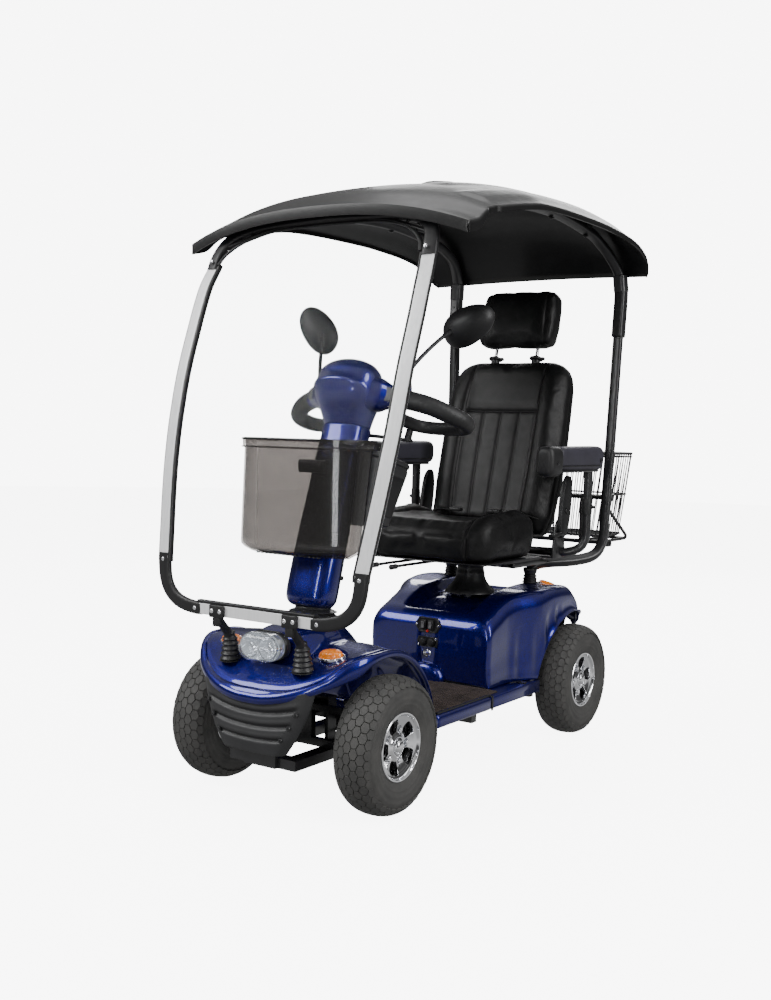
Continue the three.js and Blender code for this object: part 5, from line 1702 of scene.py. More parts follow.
def roof():
    """One moulded sheet: crowned, drooping at the back, with a turned-down rim, ribs and two scoops."""
    stations = np.concatenate([np.linspace(-540, -400, 22), np.linspace(-392, -330, 14),
                               np.linspace(-320, 560, 84), np.linspace(570, 735, 34)])
    across = np.concatenate([np.linspace(0, 0.9, 46), [0.925, 0.945, 0.962, 0.975, 0.985, 0.993, 0.998, 1.0]])
    across = np.concatenate([-across[:0:-1], across])
    rows = []
    for y in stations:
        half = float(reading(ROOF_HALF, y)[0])
        notch = 7 * float(smooth_step(-404, -392, y)) * float(smooth_step(-330, -352, y))
        row = []
        for t in across:
            x = (half - notch * abs(t) ** 8) * t
            sweep = 34 * t * t * float(smooth_step(-400, -520, y))
            sweep -= 20 * abs(t) ** 6 * float(smooth_step(640, 735, y))
            z = roof_height(x, y)
            row.append((x, y + sweep, z))
        deep = 1 + 1.1 * float(smooth_step(-380, -470, y))
        lip = [(row[0][0], row[0][1], row[0][2] - d * deep) for d in (12, 8, 3)]
        lip_end = [(row[-1][0], row[-1][1], row[-1][2] - d * deep) for d in (3, 8, 12)]
        rows.append(lip + row + lip_end)
    edge = [min(k, len(rows[0]) - 1 - k, 3) / 3 for k in range(len(rows[0]))]
    first = [(x, y + 1.6, z - 25 * e) for (x, y, z), e in zip(rows[0], edge)]
    second = [(x, y - 0.2, z - 10 * e) for (x, y, z), e in zip(rows[0], edge)]
    last = [(x, y + 0.4, z - 10 * e) for (x, y, z), e in zip(rows[-1], edge)]
    part = Part()
    part.sheet([first, second] + rows + [last], 4.5, side=-1)
    part.build("roof_shell", "chassis", ROOF, replaces=["canopy_shell"], subdivide=0,
               sharp=50)


POST_PATH = [(146, 450, 441), (146, 450, 500), (150, 458, 530), (176, 492, 543), (240, 575, 549),
             (282, 634, 566), (298, 662, 612), (300, 668, 680), (300, 689, 903), (309, 702, 1278),
             (311, 708, 1430), (303, 696, 1486), (290, 650, 1534), (284, 596, 1562), (283, 500, 1588),
             (283, 250, 1609), (283, 0, 1594), (283, -250, 1550), (283, -400, 1508), (283, -448, 1488)]


def roof_posts():
    """Bent square-cornered tubes with a telescoping clamp near the top, and boots at the foot."""
    for label, side in SIDES:
        path = curve([(side * x, y, z) for x, y, z in POST_PATH], 170)
        post = Part()
        post.tube(path, 15.5, section=oval(1, 1, 3.6, 28), up=(1, 0, 0))
        post.build(f"post_{label}", "chassis", STEEL, replaces=[f"canopy_post_{label}"])
        clamp = Part()
        start = int(np.argmin(np.abs(path[:, 2] - 1278) + (path[:, 1] < 600) * 999))
        stop = int(np.argmin(np.abs(path[:, 2] - 1436) + (path[:, 1] < 600) * 999))
        clamp.tube(path[start:stop], 19.5, section=oval(1, 1, 4, 28), up=(1, 0, 0))
        top = path[stop - 1]
        clamp.tube([top, top + (path[stop + 2] - top) * 1.2], 22, section=oval(1, 1, 3, 28), up=(1, 0, 0))
        for z in (1400, 1366, 1332):
            k = int(np.argmin(np.abs(path[:, 2] - z) + (path[:, 1] < 600) * 999))
            centre = path[k]
            clamp.turned([(4.6, 18.5), (4.6, 20.6), (3.6, 21), (3.2, 19)], centre, "x", 20)
            clamp.turned([(4.6, -21), (4.6, -18.6), (3.6, -18.4)], centre, "x", 20)
            clamp.turned([(5.2, -21.4), (5.2, -19), (3.4, -18.8)], centre, "y", 20)
        clamp.build(f"post_clamp_{label}", "chassis", STEEL)
        boot = Part()
        bellows(boot, (side * 146, 450, 456), (side * 146, 450, 528), 29, 20, 6, 19)
        boot.build(f"post_boot_{label}", "chassis", BOOT, subdivide=1)
        rail_bolts = Part()
        for y, z in ((-380, 1512), (-60, 1582), (240, 1606), (480, 1588)):
            rail_bolts.bolt((side * 283, y, z - 16), (0, 0, -1), 7, 4)
            rail_bolts.block((side * 283 - 17, side * 283 + 17), (y - 15, y + 15), (z + 8, z + 24), 5, 3)
        rail_bolts.build(f"rail_fixings_{label}", "chassis", STEEL)


screen_rails()
screen_sheet()
screen_frame()
roof()
roof_posts()


# ---- Tiller --------------------------------------------------------------------------------------------
def stacked(levels, power, sides=64, count=60):
    """Rings up the Z axis from a table of (z, half width, half depth, centre y)."""
    levels = np.asarray(levels, float)
    heights = np.interp(np.linspace(0, len(levels) - 1, count), np.arange(len(levels)), levels[:, 0])
    read = reading(levels, heights)
    return np.array([[(x, cy + y, z) for x, y in oval(rx, ry, power, sides)]
                     for z, (rx, ry, cy) in zip(heights, read)])


COVER = [(9, 38, 28, -16), (12, 51, 38, -16), (20, 62, 46, -16), (34, 68, 51, -16), (60, 70, 52, -15),
         (150, 69, 52, -10), (300, 66, 49, 0), (420, 64, 48, 10), (494, 65, 53, 23), (498, 64, 52, 23),
         (499.6, 62, 50, 23)]
HEAD = [(500.6, 62, 50, 23), (502, 64, 52, 23), (506, 65.5, 53, 22), (530, 73, 60, 17), (563, 87, 72, 8),
        (584, 93, 77, 5), (600, 94, 77, 5), (622, 92, 75, 6), (645, 85, 68, 7), (664, 69, 53, 8),
        (674, 50, 38, 8), (680, 26, 20, 8), (681, 6, 5, 8)]
DASH_LEAN = 0.6
DASH = np.array([0, 50, 612], float)
DASH_UP = np.array([0, math.cos(DASH_LEAN), math.sin(DASH_LEAN)])


def flatten_dash(rows):
    """Points beyond the sloping dash come back onto it, so that the head has a flat face for the rider."""
    rows = np.array(rows, float)
    over = np.sum((rows - DASH) * DASH_UP, axis=-1, keepdims=True)
    return rows - DASH_UP * np.maximum(over, 0)


def tiller_cover():
    """The slim painted cover of the column, with its seam and screws."""
    part = Part(TILLER)
    rows = stacked(COVER, 2.5)
    part.grid(rows, round_rows=True, caps=True)
    part.build("tiller_cover_piece", "tiller", PAINT, replaces=["tiller_cover"], subdivide=1)
    trim = Part(TILLER)
    for z in (96, 212):
        rx = reading(COVER, z)[0][0]
        trim.bolt((rx * 0.99, 10, z), (1, 0, 0), 5, 2)
        trim.bolt((-rx * 0.99, 10, z), (-1, 0, 0), 5, 2)
    seam_z = np.linspace(30, 492, 40)
    for side in (-1, 1):
        path = [(side * float(reading(COVER, z)[0][0]), 2, z) for z in seam_z]
        trim.tube(path, 1.3, sides=8)
    trim.build("tiller_cover_seam", "tiller", PLASTIC)


def tiller_head():
    """The painted head, its dash with gauge and buttons, the dial and the key."""
    rows = stacked(HEAD, 2.35, 96, 84)
    centre = np.array([0, -20, 600])
    shaped = []
    for row in rows:
        z = row[0][2]
        row = row.copy()
        out = row - [0, centre[1], 0]
        front = smooth_step(10, -60, out[:, 1])
        crease = 612 - 0.0022 * row[:, 0] ** 2
        ridge = 6.5 * np.exp(-(((z - crease) / 11) ** 2)) - 4.9 * smooth_step(crease - 4, crease - 34, z)
        ridge -= 3.0 * np.exp(-(((z - crease - 26) / 12) ** 2))
        flat = np.linalg.norm(out[:, :2], axis=1, keepdims=True)
        row[:, :2] += out[:, :2] / np.maximum(flat, 1e-6) * (ridge * front)[:, None]
        shaped.append(row)
    part = Part(TILLER)
    part.grid(flatten_dash(shaped), round_rows=True, caps=True)
    part.build("tiller_head_piece", "tiller", PAINT, replaces=["tiller_head"], subdivide=1,
               sharp=55)
    dash = Part(TILLER)
    side = np.array([1.0, 0, 0])
    rise = np.cross(DASH_UP, side)
    ring = oval(76, 48, 3.0, 64)
    rows = [DASH + DASH_UP * d + scale * (ring[:, :1] * side + ring[:, 1:] * rise) - rise * 2
            for scale, d in ((0.99, -3), (1.0, 0.6), (0.985, 2.2), (0.94, 2.6), (0.90, 1.2), (0.2, 1.2))]
    dash.grid(rows, round_rows=True, caps=True)
    dash.build("dash_panel", "tiller", GREY, sharp=50)
    gauge = Part(TILLER)
    for x, up, wide, high in ((0, 24, 30, 11), (0, -26, 34, 7)):
        ring = oval(wide, high, 6, 40)
        centre = DASH + side * x + rise * up
        rows = [centre + DASH_UP * d + scale * (ring[:, :1] * side + ring[:, 1:] * rise)
                for scale, d in ((1.0, 0.5), (1.0, 2.8), (0.97, 3.6), (0.9, 3.7))]
        gauge.grid(rows, round_rows=True, caps=True)
    gauge.build("dash_gauge", "tiller", GLASS_BLACK)
    buttons = Part(TILLER)
    for k in range(5):
        centre = DASH + side * (-56 + 28 * k) + rise * -42
        ring = oval(6.5, 5, 3, 20)
        rows = [centre + DASH_UP * d + scale * (ring[:, :1] * side + ring[:, 1:] * rise)
                for scale, d in ((1.0, 0.5), (1.0, 3.4), (0.85, 4.4))]
        buttons.grid(rows, round_rows=True, caps=True)
    buttons.build("dash_buttons", "tiller", PLASTIC)
    knob = Part(TILLER)
    centre = DASH - side * 38
    ring = oval(1, 1, 2, 60)
    knurl = 1 - 0.05 * (np.arange(60) % 3 == 0)
    rows = [centre + DASH_UP * d + r * knurl[:, None] * (ring[:, :1] * side + ring[:, 1:] * rise)
            for r, d in ((15, 2.8), (15, 11), (14, 13), (9, 13.6))]
    knob.grid(rows, round_rows=True, caps=True)
    knob.tube([centre + DASH_UP * 13.5 + rise * u for u in (2, 12)], 1.6, sides=8)
    knob.build("speed_dial_piece", "speed_dial", PLASTIC, replaces=["speed_dial"], sharp=30)
    key = Part(TILLER)
    centre = DASH + side * 38
    ring = oval(1, 1, 2, 32)
    rows = [centre + DASH_UP * d + r * (ring[:, :1] * side + ring[:, 1:] * rise)
            for r, d in ((9, 2.8), (9, 6), (8, 7.4), (2, 7.5))]
    key.grid(rows, round_rows=True, caps=True)
    blade = oval(10.5, 8.5, 2.6, 28)
    rows = [centre + DASH_UP * 20 + (blade[:, :1] * rise + blade[:, 1:] * DASH_UP) * s + side * o
            for o, s in ((-1.6, 0.9), (-1.2, 1), (1.2, 1), (1.6, 0.9))]
    key.grid(rows, round_rows=True, caps=True)
    key.tube([centre + DASH_UP * d for d in (5, 13)], 2.6, sides=10)
    key.build("key_piece", "key", CHROME, replaces=["ignition_key"])


GRIP_PATH = [(112, 42, 588), (150, 58, 587), (208, 88, 578), (254, 126, 563), (274, 164, 556),
             (264, 198, 550), (230, 213, 547), (184, 214, 546), (144, 206, 546), (120, 186, 546),
             (112, 150, 546), (110, 100, 546), (108, 84, 546)]


def handlebars():
    """Blue side stubs with grey inserts and thick delta grips that loop back to the column."""
    for label, side in SIDES:
        path = curve([(side * x, y, z) for x, y, z in GRIP_PATH], 130)
        run = np.linspace(0, 1, 130)
        thick = np.interp(run, [0, 0.12, 0.34, 0.50, 0.64, 1], [26, 25.5, 24, 21, 18, 17.5])
        thick = thick + 0.35 * np.sin(run * 260) * smooth_step(0.10, 0.16, run) * smooth_step(0.64, 0.58, run)
        grip = Part(TILLER)
        grip.tube(path, thick, sides=32)
        grip.build(f"grip_{label}", "tiller", GRIP, replaces=[f"handlebar_{label}"])
        stub = Part(TILLER)
        spine = curve([(side * 60, 14, 590), (side * 96, 32, 590), (side * 128, 47, 588),
                       (side * 152, 58, 587)], 26)
        size = np.interp(np.linspace(0, 1, 26), [0, 0.35, 0.62, 0.86, 0.93, 1.0], [50, 44, 30, 25.5, 27, 25])
        stub.tube(spine, size, sides=40, section=oval(1, 1, 2.6, 40))
        stub.build(f"stub_{label}", "tiller", PAINT, subdivide=1)
        insert = Part(TILLER)
        ahead = spine[20] - spine[8]
        ahead /= np.linalg.norm(ahead)
        front = np.array([side * 0.42, -0.9, 0.0])
        front -= ahead * np.dot(front, ahead)
        front /= np.linalg.norm(front)
        up = np.cross(ahead, front)
        centre = spine[14]
        ring = oval(1, 1, 4, 40)
        rows = []
        for scale, d in ((1.0, 22), (1.0, 30.5), (0.95, 32.5), (0.8, 33.5)):
            u = ring[:, :1] * 22 * scale
            v = ring[:, 1:] * 19 * scale * (1 - 0.25 * ring[:, :1])
            rows.append(centre + front * (d + 2.5) + u * ahead + v * up - front * 0.004 * v**2)
        insert.grid(rows, round_rows=True, caps=True)
        insert.build(f"stub_insert_{label}", "tiller", INSERT_GREY, sharp=50)


def throttle():
    """The wig-wag: one bar under the dash with a thumb paddle at each end."""
    part = Part(TILLER)
    half = [(0, 72), (20, 72), (60, 86), (100, 104), (132, 121), (144, 126)]
    points = [(-x, y, 491.5) for x, y in half[::-1]] + [(x, y, 491.5) for x, y in half[1:]]
    path = curve(points, 70)
    part.tube(path, 7.5, section=oval(1, 0.62, 3, 20), up=(0, 0, 1))
    for _, side in SIDES:
        part.tube([(side * x, y, z) for x, y, z in ((133, 121, 488), (134, 121, 500), (136, 122, 519))],
                  [9, 10.5, 10], section=oval(1, 0.8, 3, 20), up=(1, 0, 0))
    part.build("throttle_paddles", "throttle", PLASTIC, replaces=["throttle_lever"])


def storage():
    """A lidded case behind the column: a tapering body with a shallow front panel, and a ridged lid."""
    levels = [(258, 72, 66, 186), (262, 76, 64, 192), (290, 77, 64, 202), (420, 79, 64, 248),
              (430, 79, 64, 245), (433.5, 77, 66, 241)]
    rows = []
    for z, half, front, back in levels:
        rows.append([(x, (front + back) / 2 + y, z) for x, y in oval(half, (back - front) / 2, 7, 64)])
    part = Part(TILLER)
    part.grid(rows, round_rows=True, caps=True)
    for x in (-54, 54):
        part.block((x - 1.5, x + 1.5), (150, 176), (285, 300), 1.2, 2)
    part.build("storage_case", "tiller", DARK_GREY, replaces=["storage_box"], sharp=50,
               bevel=1.2)
    panel = Part(TILLER)
    rows = []
    for t in np.linspace(0, 1, 12):
        z = 282 + 124 * t
        y = 202 + 46 * (z - 290) / 130 + 0.8
        rows.append([(x, y + 1.8 * (1 - abs(x / 58) ** 8), z) for x in np.linspace(-56, 56, 16)])
    panel.sheet(rows, 3, side=1)
    for side in (-1, 1):
        rows = [[(side * (79.2 + 1.2 * (1 - abs(2 * v - 1) ** 6)), 84 + 96 * u + 38 * v * u, 284 + 116 * v)
                 for u in np.linspace(0, 1, 12)] for v in np.linspace(0, 1, 10)]
        panel.sheet(rows, 2, side=side)
    panel.build("storage_panels", "tiller", PLASTIC, sharp=60, bevel=0.8)
    lid = Part(TILLER)
    rows = []
    for z, grow in ((433.8, -3), (434.4, 0.5), (440, 2), (445, 1.4), (449, -2.5), (450.5, -8), (451, -20),
                    (451.2, -42)):
        half, mid, deep = 80, 158, 91
        ring = oval(half + grow * 0.9, deep + grow, 6, 72)
        rows.append([(x, mid + y + 2, z - 0.02 * y) for x, y in ring])
    lid.grid(rows, round_rows=True, caps=True)
    for x in (-48, -24, 0, 24, 48):
        lid.block((x - 3, x + 3), (88, 228), (449.5, 453), 2.4, 3)
    lid.block((-16, 16), (248, 257), (434, 446), 4, 3)
    lid.build("storage_lid_piece", "storage_lid", DARK_GREY, replaces=["storage_lid"],
              sharp=50)


def basket_ring(z, half, corner, middle_y, back, inset=0.0, count=72):
    """One level of the front basket: a bowed front with rounded corners and a flat back."""
    points = []
    for t in np.linspace(-1, 1, 41):
        x = t * (half - inset)
        points.append((x, middle_y + (corner - middle_y) * abs(t) ** 2.6 + inset, z))
    for a in np.linspace(0, 90, 6)[1:]:
        r = 16
        c, s = math.cos(math.radians(a)), math.sin(math.radians(a))
        points.append((half - inset - r + r * c, back - inset - r + r * s, z))
    for a in np.linspace(90, 180, 6):
        r = 16
        c, s = math.cos(math.radians(a)), math.sin(math.radians(a))
        points.append((-(half - inset) + r + r * c, back - inset - r + r * s, z))
    closed = points + [points[0]]
    return even(closed, count + 1)[:count]


BASKET_LOW, BASKET_RIM = 630, 898


def front_basket():
    """A smoked clear tub: flared sides, a stepped rim band, rounded lower edge and a drained floor."""
    part = Part()
    outer, inner = [], []
    for t in np.linspace(0, 1, 30):
        z = BASKET_LOW + (BASKET_RIM - BASKET_LOW) * t
        half, corner, front, back = 178 + 10 * t, -584 + 21 * t, -628 + 9 * t, -529 + 26 * t
        rounding = 20 * (1 - min(t / 0.09, 1)) ** 2
        outer.append(basket_ring(z, half, corner, front, back, rounding))
        inner.append(basket_ring(z + 3.2, half, corner, front, back, rounding + 3.0))
    rim = [basket_ring(z, half, corner, front, back, inset) for z, half, corner, front, back, inset in (
        (BASKET_RIM + 2, 190, -563, -620.5, -502, -1.6), (BASKET_RIM + 6, 191, -562, -621, -501, -2.4),
        (BASKET_RIM + 24, 192, -561, -621, -500, -2.4), (BASKET_RIM + 28, 192, -560, -621, -500, -1.0),
        (BASKET_RIM + 28, 192, -560, -621, -500, 1.6), (BASKET_RIM + 4, 190, -562, -620, -502, 2.6))]
    part.grid(outer + rim + inner[::-1], round_rows=True, caps=True)
    part.build("front_basket_tub", "tiller", SMOKE, replaces=["front_basket"], sharp=50)
    band = Part()
    for low, high in ((2, 5), (21, 27)):
        band.grid([basket_ring(BASKET_RIM + z, 192, -561, -621, -500, inset) for z, inset in (
            (low, -3.2), (low, -4.6), (high, -4.6), (high, -3.2))], round_rows=True, close_columns=True)
    band.build("front_basket_band", "tiller", SMOKE, sharp=50)
    floor = Part()
    for row in range(5):
        for column in range(15 - row % 2):
            x = -98 + 14 * column + 7 * (row % 2)
            y = -606 + 12 * row
            floor.turned([(4.4, 0), (5.2, 0.8), (4.4, 2.4), (3.6, 1.2)], (x, y, BASKET_LOW), "z", 12)
    floor.build("basket_floor_vents", "tiller", PLASTIC)
    hanger = Part()
    hanger.block((-44, 44), (-519, -500), (838, 872), 5, 3)
    hanger.block((-38, 38), (-527, -519.4), (844, 866), 3, 3)
    for x in (-30, 30):
        hanger.tube([(x, -506, 850), (x * 0.9, -470, 846), (x * 0.8, -440, 838)], 6, sides=14)
        hanger.bolt((x, -527, 855), (0, -1, 0), 5, 3)
    hanger.build("basket_hanger", "tiller", STEEL)


MIRROR_FOOT = (147, -297, 1072)


def mirrors():
    """Drop-shaped housings on thin bent stems with a locknut at each end."""
    for label, side in SIDES:
        fx, fy, fz = MIRROR_FOOT
        foot = np.array([side * fx, fy, fz])
        stem = Part()
        path = curve(foot + [(0, 0, -8), (0, 0, 8), (side * 4, 4, 42), (side * 28, 38, 90),
                             (side * 56, 78, 134), (side * 76, 101, 155)], 60)
        stem.tube(path, 5.4, sides=16)
        stem.tube([foot + [0, 0, d] for d in (-10, 2, 14)], [11, 10, 8], sides=24)
        stem.tube([foot + [0, 0, d] for d in (14, 24)], 7.6, sides=6)
        stem.tube([foot + [0, 0.4, d] for d in (24, 34)], [6.4, 5.6], sides=20)
        stem.tube(path[50:59], np.linspace(7, 9, 9), sides=20)
        stem.build(f"mirror_stem_{label}", f"mirror_{label}", STEEL)
        tilt = Matrix.Rotation(math.radians(-24 if side > 0 else 48), 3, "Y")
        lean = np.array(tilt)
        centre = foot + [side * 106, 112, 168]
        rows = []
        for y, rx, rz in ((-29, 8, 5), (-27, 24, 15), (-22, 42, 26), (-13, 60, 38), (-3, 72, 46),
                          (8, 79, 50.5), (16, 81, 51.5), (21, 80.5, 51), (23, 78, 49), (20.5, 76.5, 47.5),
                          (19, 76, 47)):
            ring = oval(rx, rz, 2.15, 72)
            pinch = 1 - 0.13 * side * ring[:, :1] / 82
            points = np.column_stack([ring[:, 0], np.full(72, y), ring[:, 1] * pinch[:, 0]])
            rows.append(points @ lean.T + centre)
        shell = Part()
        shell.grid(rows, round_rows=True, caps=True)
        shell.build(f"mirror_shell_{label}", f"mirror_{label}", PLASTIC,
                    replaces=[f"mirror_{label}"], subdivide=1)
        glass = Part()
        rows = []
        for y, scale in ((19.2, 0.995), (20.2, 0.99), (20.9, 0.9), (21.6, 0.6), (21.9, 0.2)):
            ring = oval(75.5 * scale, 46.5 * scale, 2.15, 72)
            pinch = 1 - 0.13 * side * ring[:, 0] / 82
            rows.append(np.column_stack([ring[:, 0], np.full(72, y), ring[:, 1] * pinch]) @ lean.T + centre)
        glass.grid(rows, round_rows=True, caps=True)
        glass.build(f"mirror_glass_{label}", f"mirror_{label}", MIRROR_GLASS)
        collar = Part(TILLER)
        base = (foot - TILLER.origin) @ TILLER.turn.T
        collar.tube([base + [0, -6, -28], base + [0, -2, -14], base + [0, 0, -2]], [20, 14, 11], sides=28)
        collar.build(f"mirror_collar_{label}", "tiller", PAINT, subdivide=1)


tiller_cover()
tiller_head()
handlebars()
throttle()
storage()
front_basket()
mirrors()


# ---- Armrests ------------------------------------------------------------------------------------------
ARM_PIVOT = (315, 520, 880)


def armrests():
    """A padded rest, deeper towards the back, with a rounded clamp block at its front end."""
    for label, side in SIDES:
        px, py, pz = ARM_PIVOT
        rows = []
        for y, half, low, high in ((-266, 20, -20, 26), (-263, 25, -27, 32), (-254, 28, -31, 35.5),
                                   (-230, 29.5, -33, 37), (-120, 30, -34, 38.5), (0, 30, -35, 39.5),
                                   (18, 29.5, -34, 39), (27, 27, -28, 35), (30, 21, -18, 28)):
            ring = oval(1, 1, 3.6, 56)
            middle, deep = (low + high) / 2, (high - low) / 2
            crown = 1 + 0.05 * (1 - ring[:, 0] ** 2) * (ring[:, 1] > 0)
            rows.append([(side * px + half * a, py + y, pz + middle + deep * b * c)
                         for (a, b), c in zip(ring, crown)])
        pad = Part()
        pad.grid(rows, round_rows=True, caps=True)
        obj = pad.build(f"armrest_pad_{label}", f"armrest_{label}", ARM_GREY,
                        replaces=[f"armrest_{label}"], subdivide=2)
        welt = Part()
        path = [(side * px + x, py + y, pz - 19) for x, y in
                ((30.6, 4), (30.4, -120), (29.4, -238), (24, -259), (0, -265.5), (-24, -259), (-29.4, -238),
                 (-30.4, -120), (-30.6, 4))]
        welt.tube(curve(path, 80), 1.5, sides=8)
        welt.build(f"armrest_welt_{label}", f"armrest_{label}", LEATHER)
        clamp = Part()
        rows = []
        for y, half, low, high in ((-340, 14, -30, 20), (-338, 22, -42, 31), (-332, 28, -49, 37),
                                   (-322, 31, -51, 39), (-290, 32, -52, 39.5), (-276, 31.5, -51, 39),
                                   (-270, 30, -46, 36), (-266.5, 24, -38, 30)):
            middle, deep = (low + high) / 2, (high - low) / 2
            rows.append([(side * px + a, py + y, pz + middle + b) for a, b in oval(half, deep, 3.2, 44)])
        clamp.grid(rows, round_rows=True, caps=True)
        clamp.build(f"armrest_clamp_{label}", f"armrest_{label}", PLASTIC, subdivide=1)
        under = Part()
        under.block((side * px - 18, side * px + 18), (py - 262, py + 16), (pz - 40, pz - 32), 6, 3)
        under.tube([(side * px - 22, py, pz - 14), (side * px + 22, py, pz - 14)], 9, sides=20)
        under.bolt((side * (px + 30.5), py, pz - 4), (side, 0, 0), 6, 3)
        under.bolt((side * (px + 31.5), py - 306, pz - 10), (side, 0, 0), 5, 2.5)
        under.build(f"armrest_bracket_{label}", f"armrest_{label}", STEEL)


# ---- Under the seat ------------------------------------------------------------------------------------
def seat_frame():
    """Pan, slides, and the bent tube that rises on each side to carry the armrests."""
    pan = Part()
    pan.block((-212, 212), (25, 426), (568.2, 572.5), 26, 6)
    pan.block((-250, 250), (398, 462), (568.4, 575), 10, 4)
    for x in (-150, -50, 50, 150):
        pan.block((x - 13, x + 13), (60, 390), (572.4, 576), 6, 3)
    arm = [(319, 486, 856), (319, 486, 760), (319, 486, 668), (317, 485, 632), (305, 478, 604),
           (280, 467, 590), (235, 458, 584), (80, 455, 582), (-80, 455, 582), (-235, 458, 584),
           (-280, 467, 590), (-305, 478, 604), (-317, 485, 632), (-319, 486, 668), (-319, 486, 760),
           (-319, 486, 856)]
    pan.tube(curve(arm, 170), 13, section=oval(1, 1, 2.8, 24))
    for _, side in SIDES:
        outline = [(398, 568), (478, 568), (478, 600), (470, 640), (462, 672), (452, 686), (438, 690),
                   (424, 686), (414, 672), (405, 640), (398, 600)]
        rows = [[(side * x, 438 + (y - 438) * s, 630 + (z - 630) * s) for y, z in outline]
                for x, s in ((243.5, 0.985), (244.2, 1), (249.8, 1), (250.5, 0.985))]
        pan.grid(rows, round_rows=True, caps=True)
        pan.block((side * 236 - 9, side * 236 + 9), (420, 470), (574, 600), 5, 3)
        pan.bolt((side * 251, 424, 588), (side, 0, 0), 6, 3)
        pan.bolt((side * 251, 456, 588), (side, 0, 0), 6, 3)
    pan.build("seat_frame", "seat", STEEL, replaces=["seat_pan"], sharp=50)
    collars = Part()
    for _, side in SIDES:
        collars.tube([(side * 319, 486, z) for z in (846, 850, 854)], [15, 16, 15], sides=28)
        collars.tube([(side * 319, 486, z) for z in (706, 716, 746, 756)], [14.6, 15.6, 15.6, 14.6], sides=28)
        collars.bolt((side * 334, 486, 731), (side, 0, 0), 6, 8)
    collars.build("arm_tube_collars", "seat", PLASTIC)
    swivel = Part()
    rows = []
    outline = [(x, 323 + y) for x, y in oval(200, 140, 9, 120)]
    for z, s in ((560.2, 0.985), (561, 1), (565.8, 1), (566.6, 0.985)):
        rows.append([(x * s, 323 + (y - 323) * s, z) for x, y in outline])
    swivel.grid(rows, round_rows=True, caps=True)
    swivel.turned([(20, 553.2), (59, 553.2), (60.5, 555), (60.5, 558.5), (66, 560.3), (20, 560.6)],
                  (0, 323, 0), "z", 48)
    for x in (-150, 150):
        swivel.block((x - 12, x + 12), (190, 456), (553, 560.4), 4, 3)
        for y in (206, 440):
            swivel.bolt((x, y, 553), (0, 0, -1), 6, 4)
    for _, side in SIDES:
        swivel.block((min(side * 178, side * 200), max(side * 178, side * 200)), (236, 458), (545, 560.4),
                     4, 3)
    swivel.block((-198, 198), (236, 250), (545, 560.4), 4, 3)
    swivel.block((-198, 198), (444, 458), (545, 560.4), 4, 3)
    swivel.build("swivel_plate", "swivel", STEEL, replaces=["seat_swivel"], sharp=50)
    for x, back, body in ((-52, 226, "swivel_lever"), (-120, 208, "slide_lever")):
        bar = Part()
        path = curve([(x, back, 552), (x, 120, 552), (x - 2, 40, 552), (x - 10, 6, 550),
                      (x - 14, -14, 549)], 40)
        bar.tube(path, 4.6, sides=14)
        bar.build(f"{body}_rod", body, STEEL, replaces=[body])
        knob = Part()
        grip = curve([(x - 13, -6, 549.5), (x - 16, -20, 548.5), (x - 18, -34, 548)], 20)
        knob.tube(grip, np.interp(np.linspace(0, 1, 20), [0, 0.12, 0.5, 0.9, 1], [6.4, 8.2, 7.2, 8.4, 6.5]),
                  section=oval(1, 1, 2.4, 20))
        knob.build(f"{body}_knob", body, GRIP)


# ---- Rear basket ---------------------------------------------------------------------------------------
def wire_ring(z, grow=0.0, count=150):
    """A closed wire round the basket at one height."""
    t = (z - 610) / 285
    half, front, back = 250 + 20 * t + grow, 758 - 8 * t - grow, 945 + 48.5 * t + grow
    ring = oval(half, (back - front) / 2, 9, count)
    closed = np.column_stack([ring[:, 0], (front + back) / 2 + ring[:, 1], np.full(count, z)])
    return even(np.vstack([closed, closed[:1]]).tolist(), count + 1)[:count]


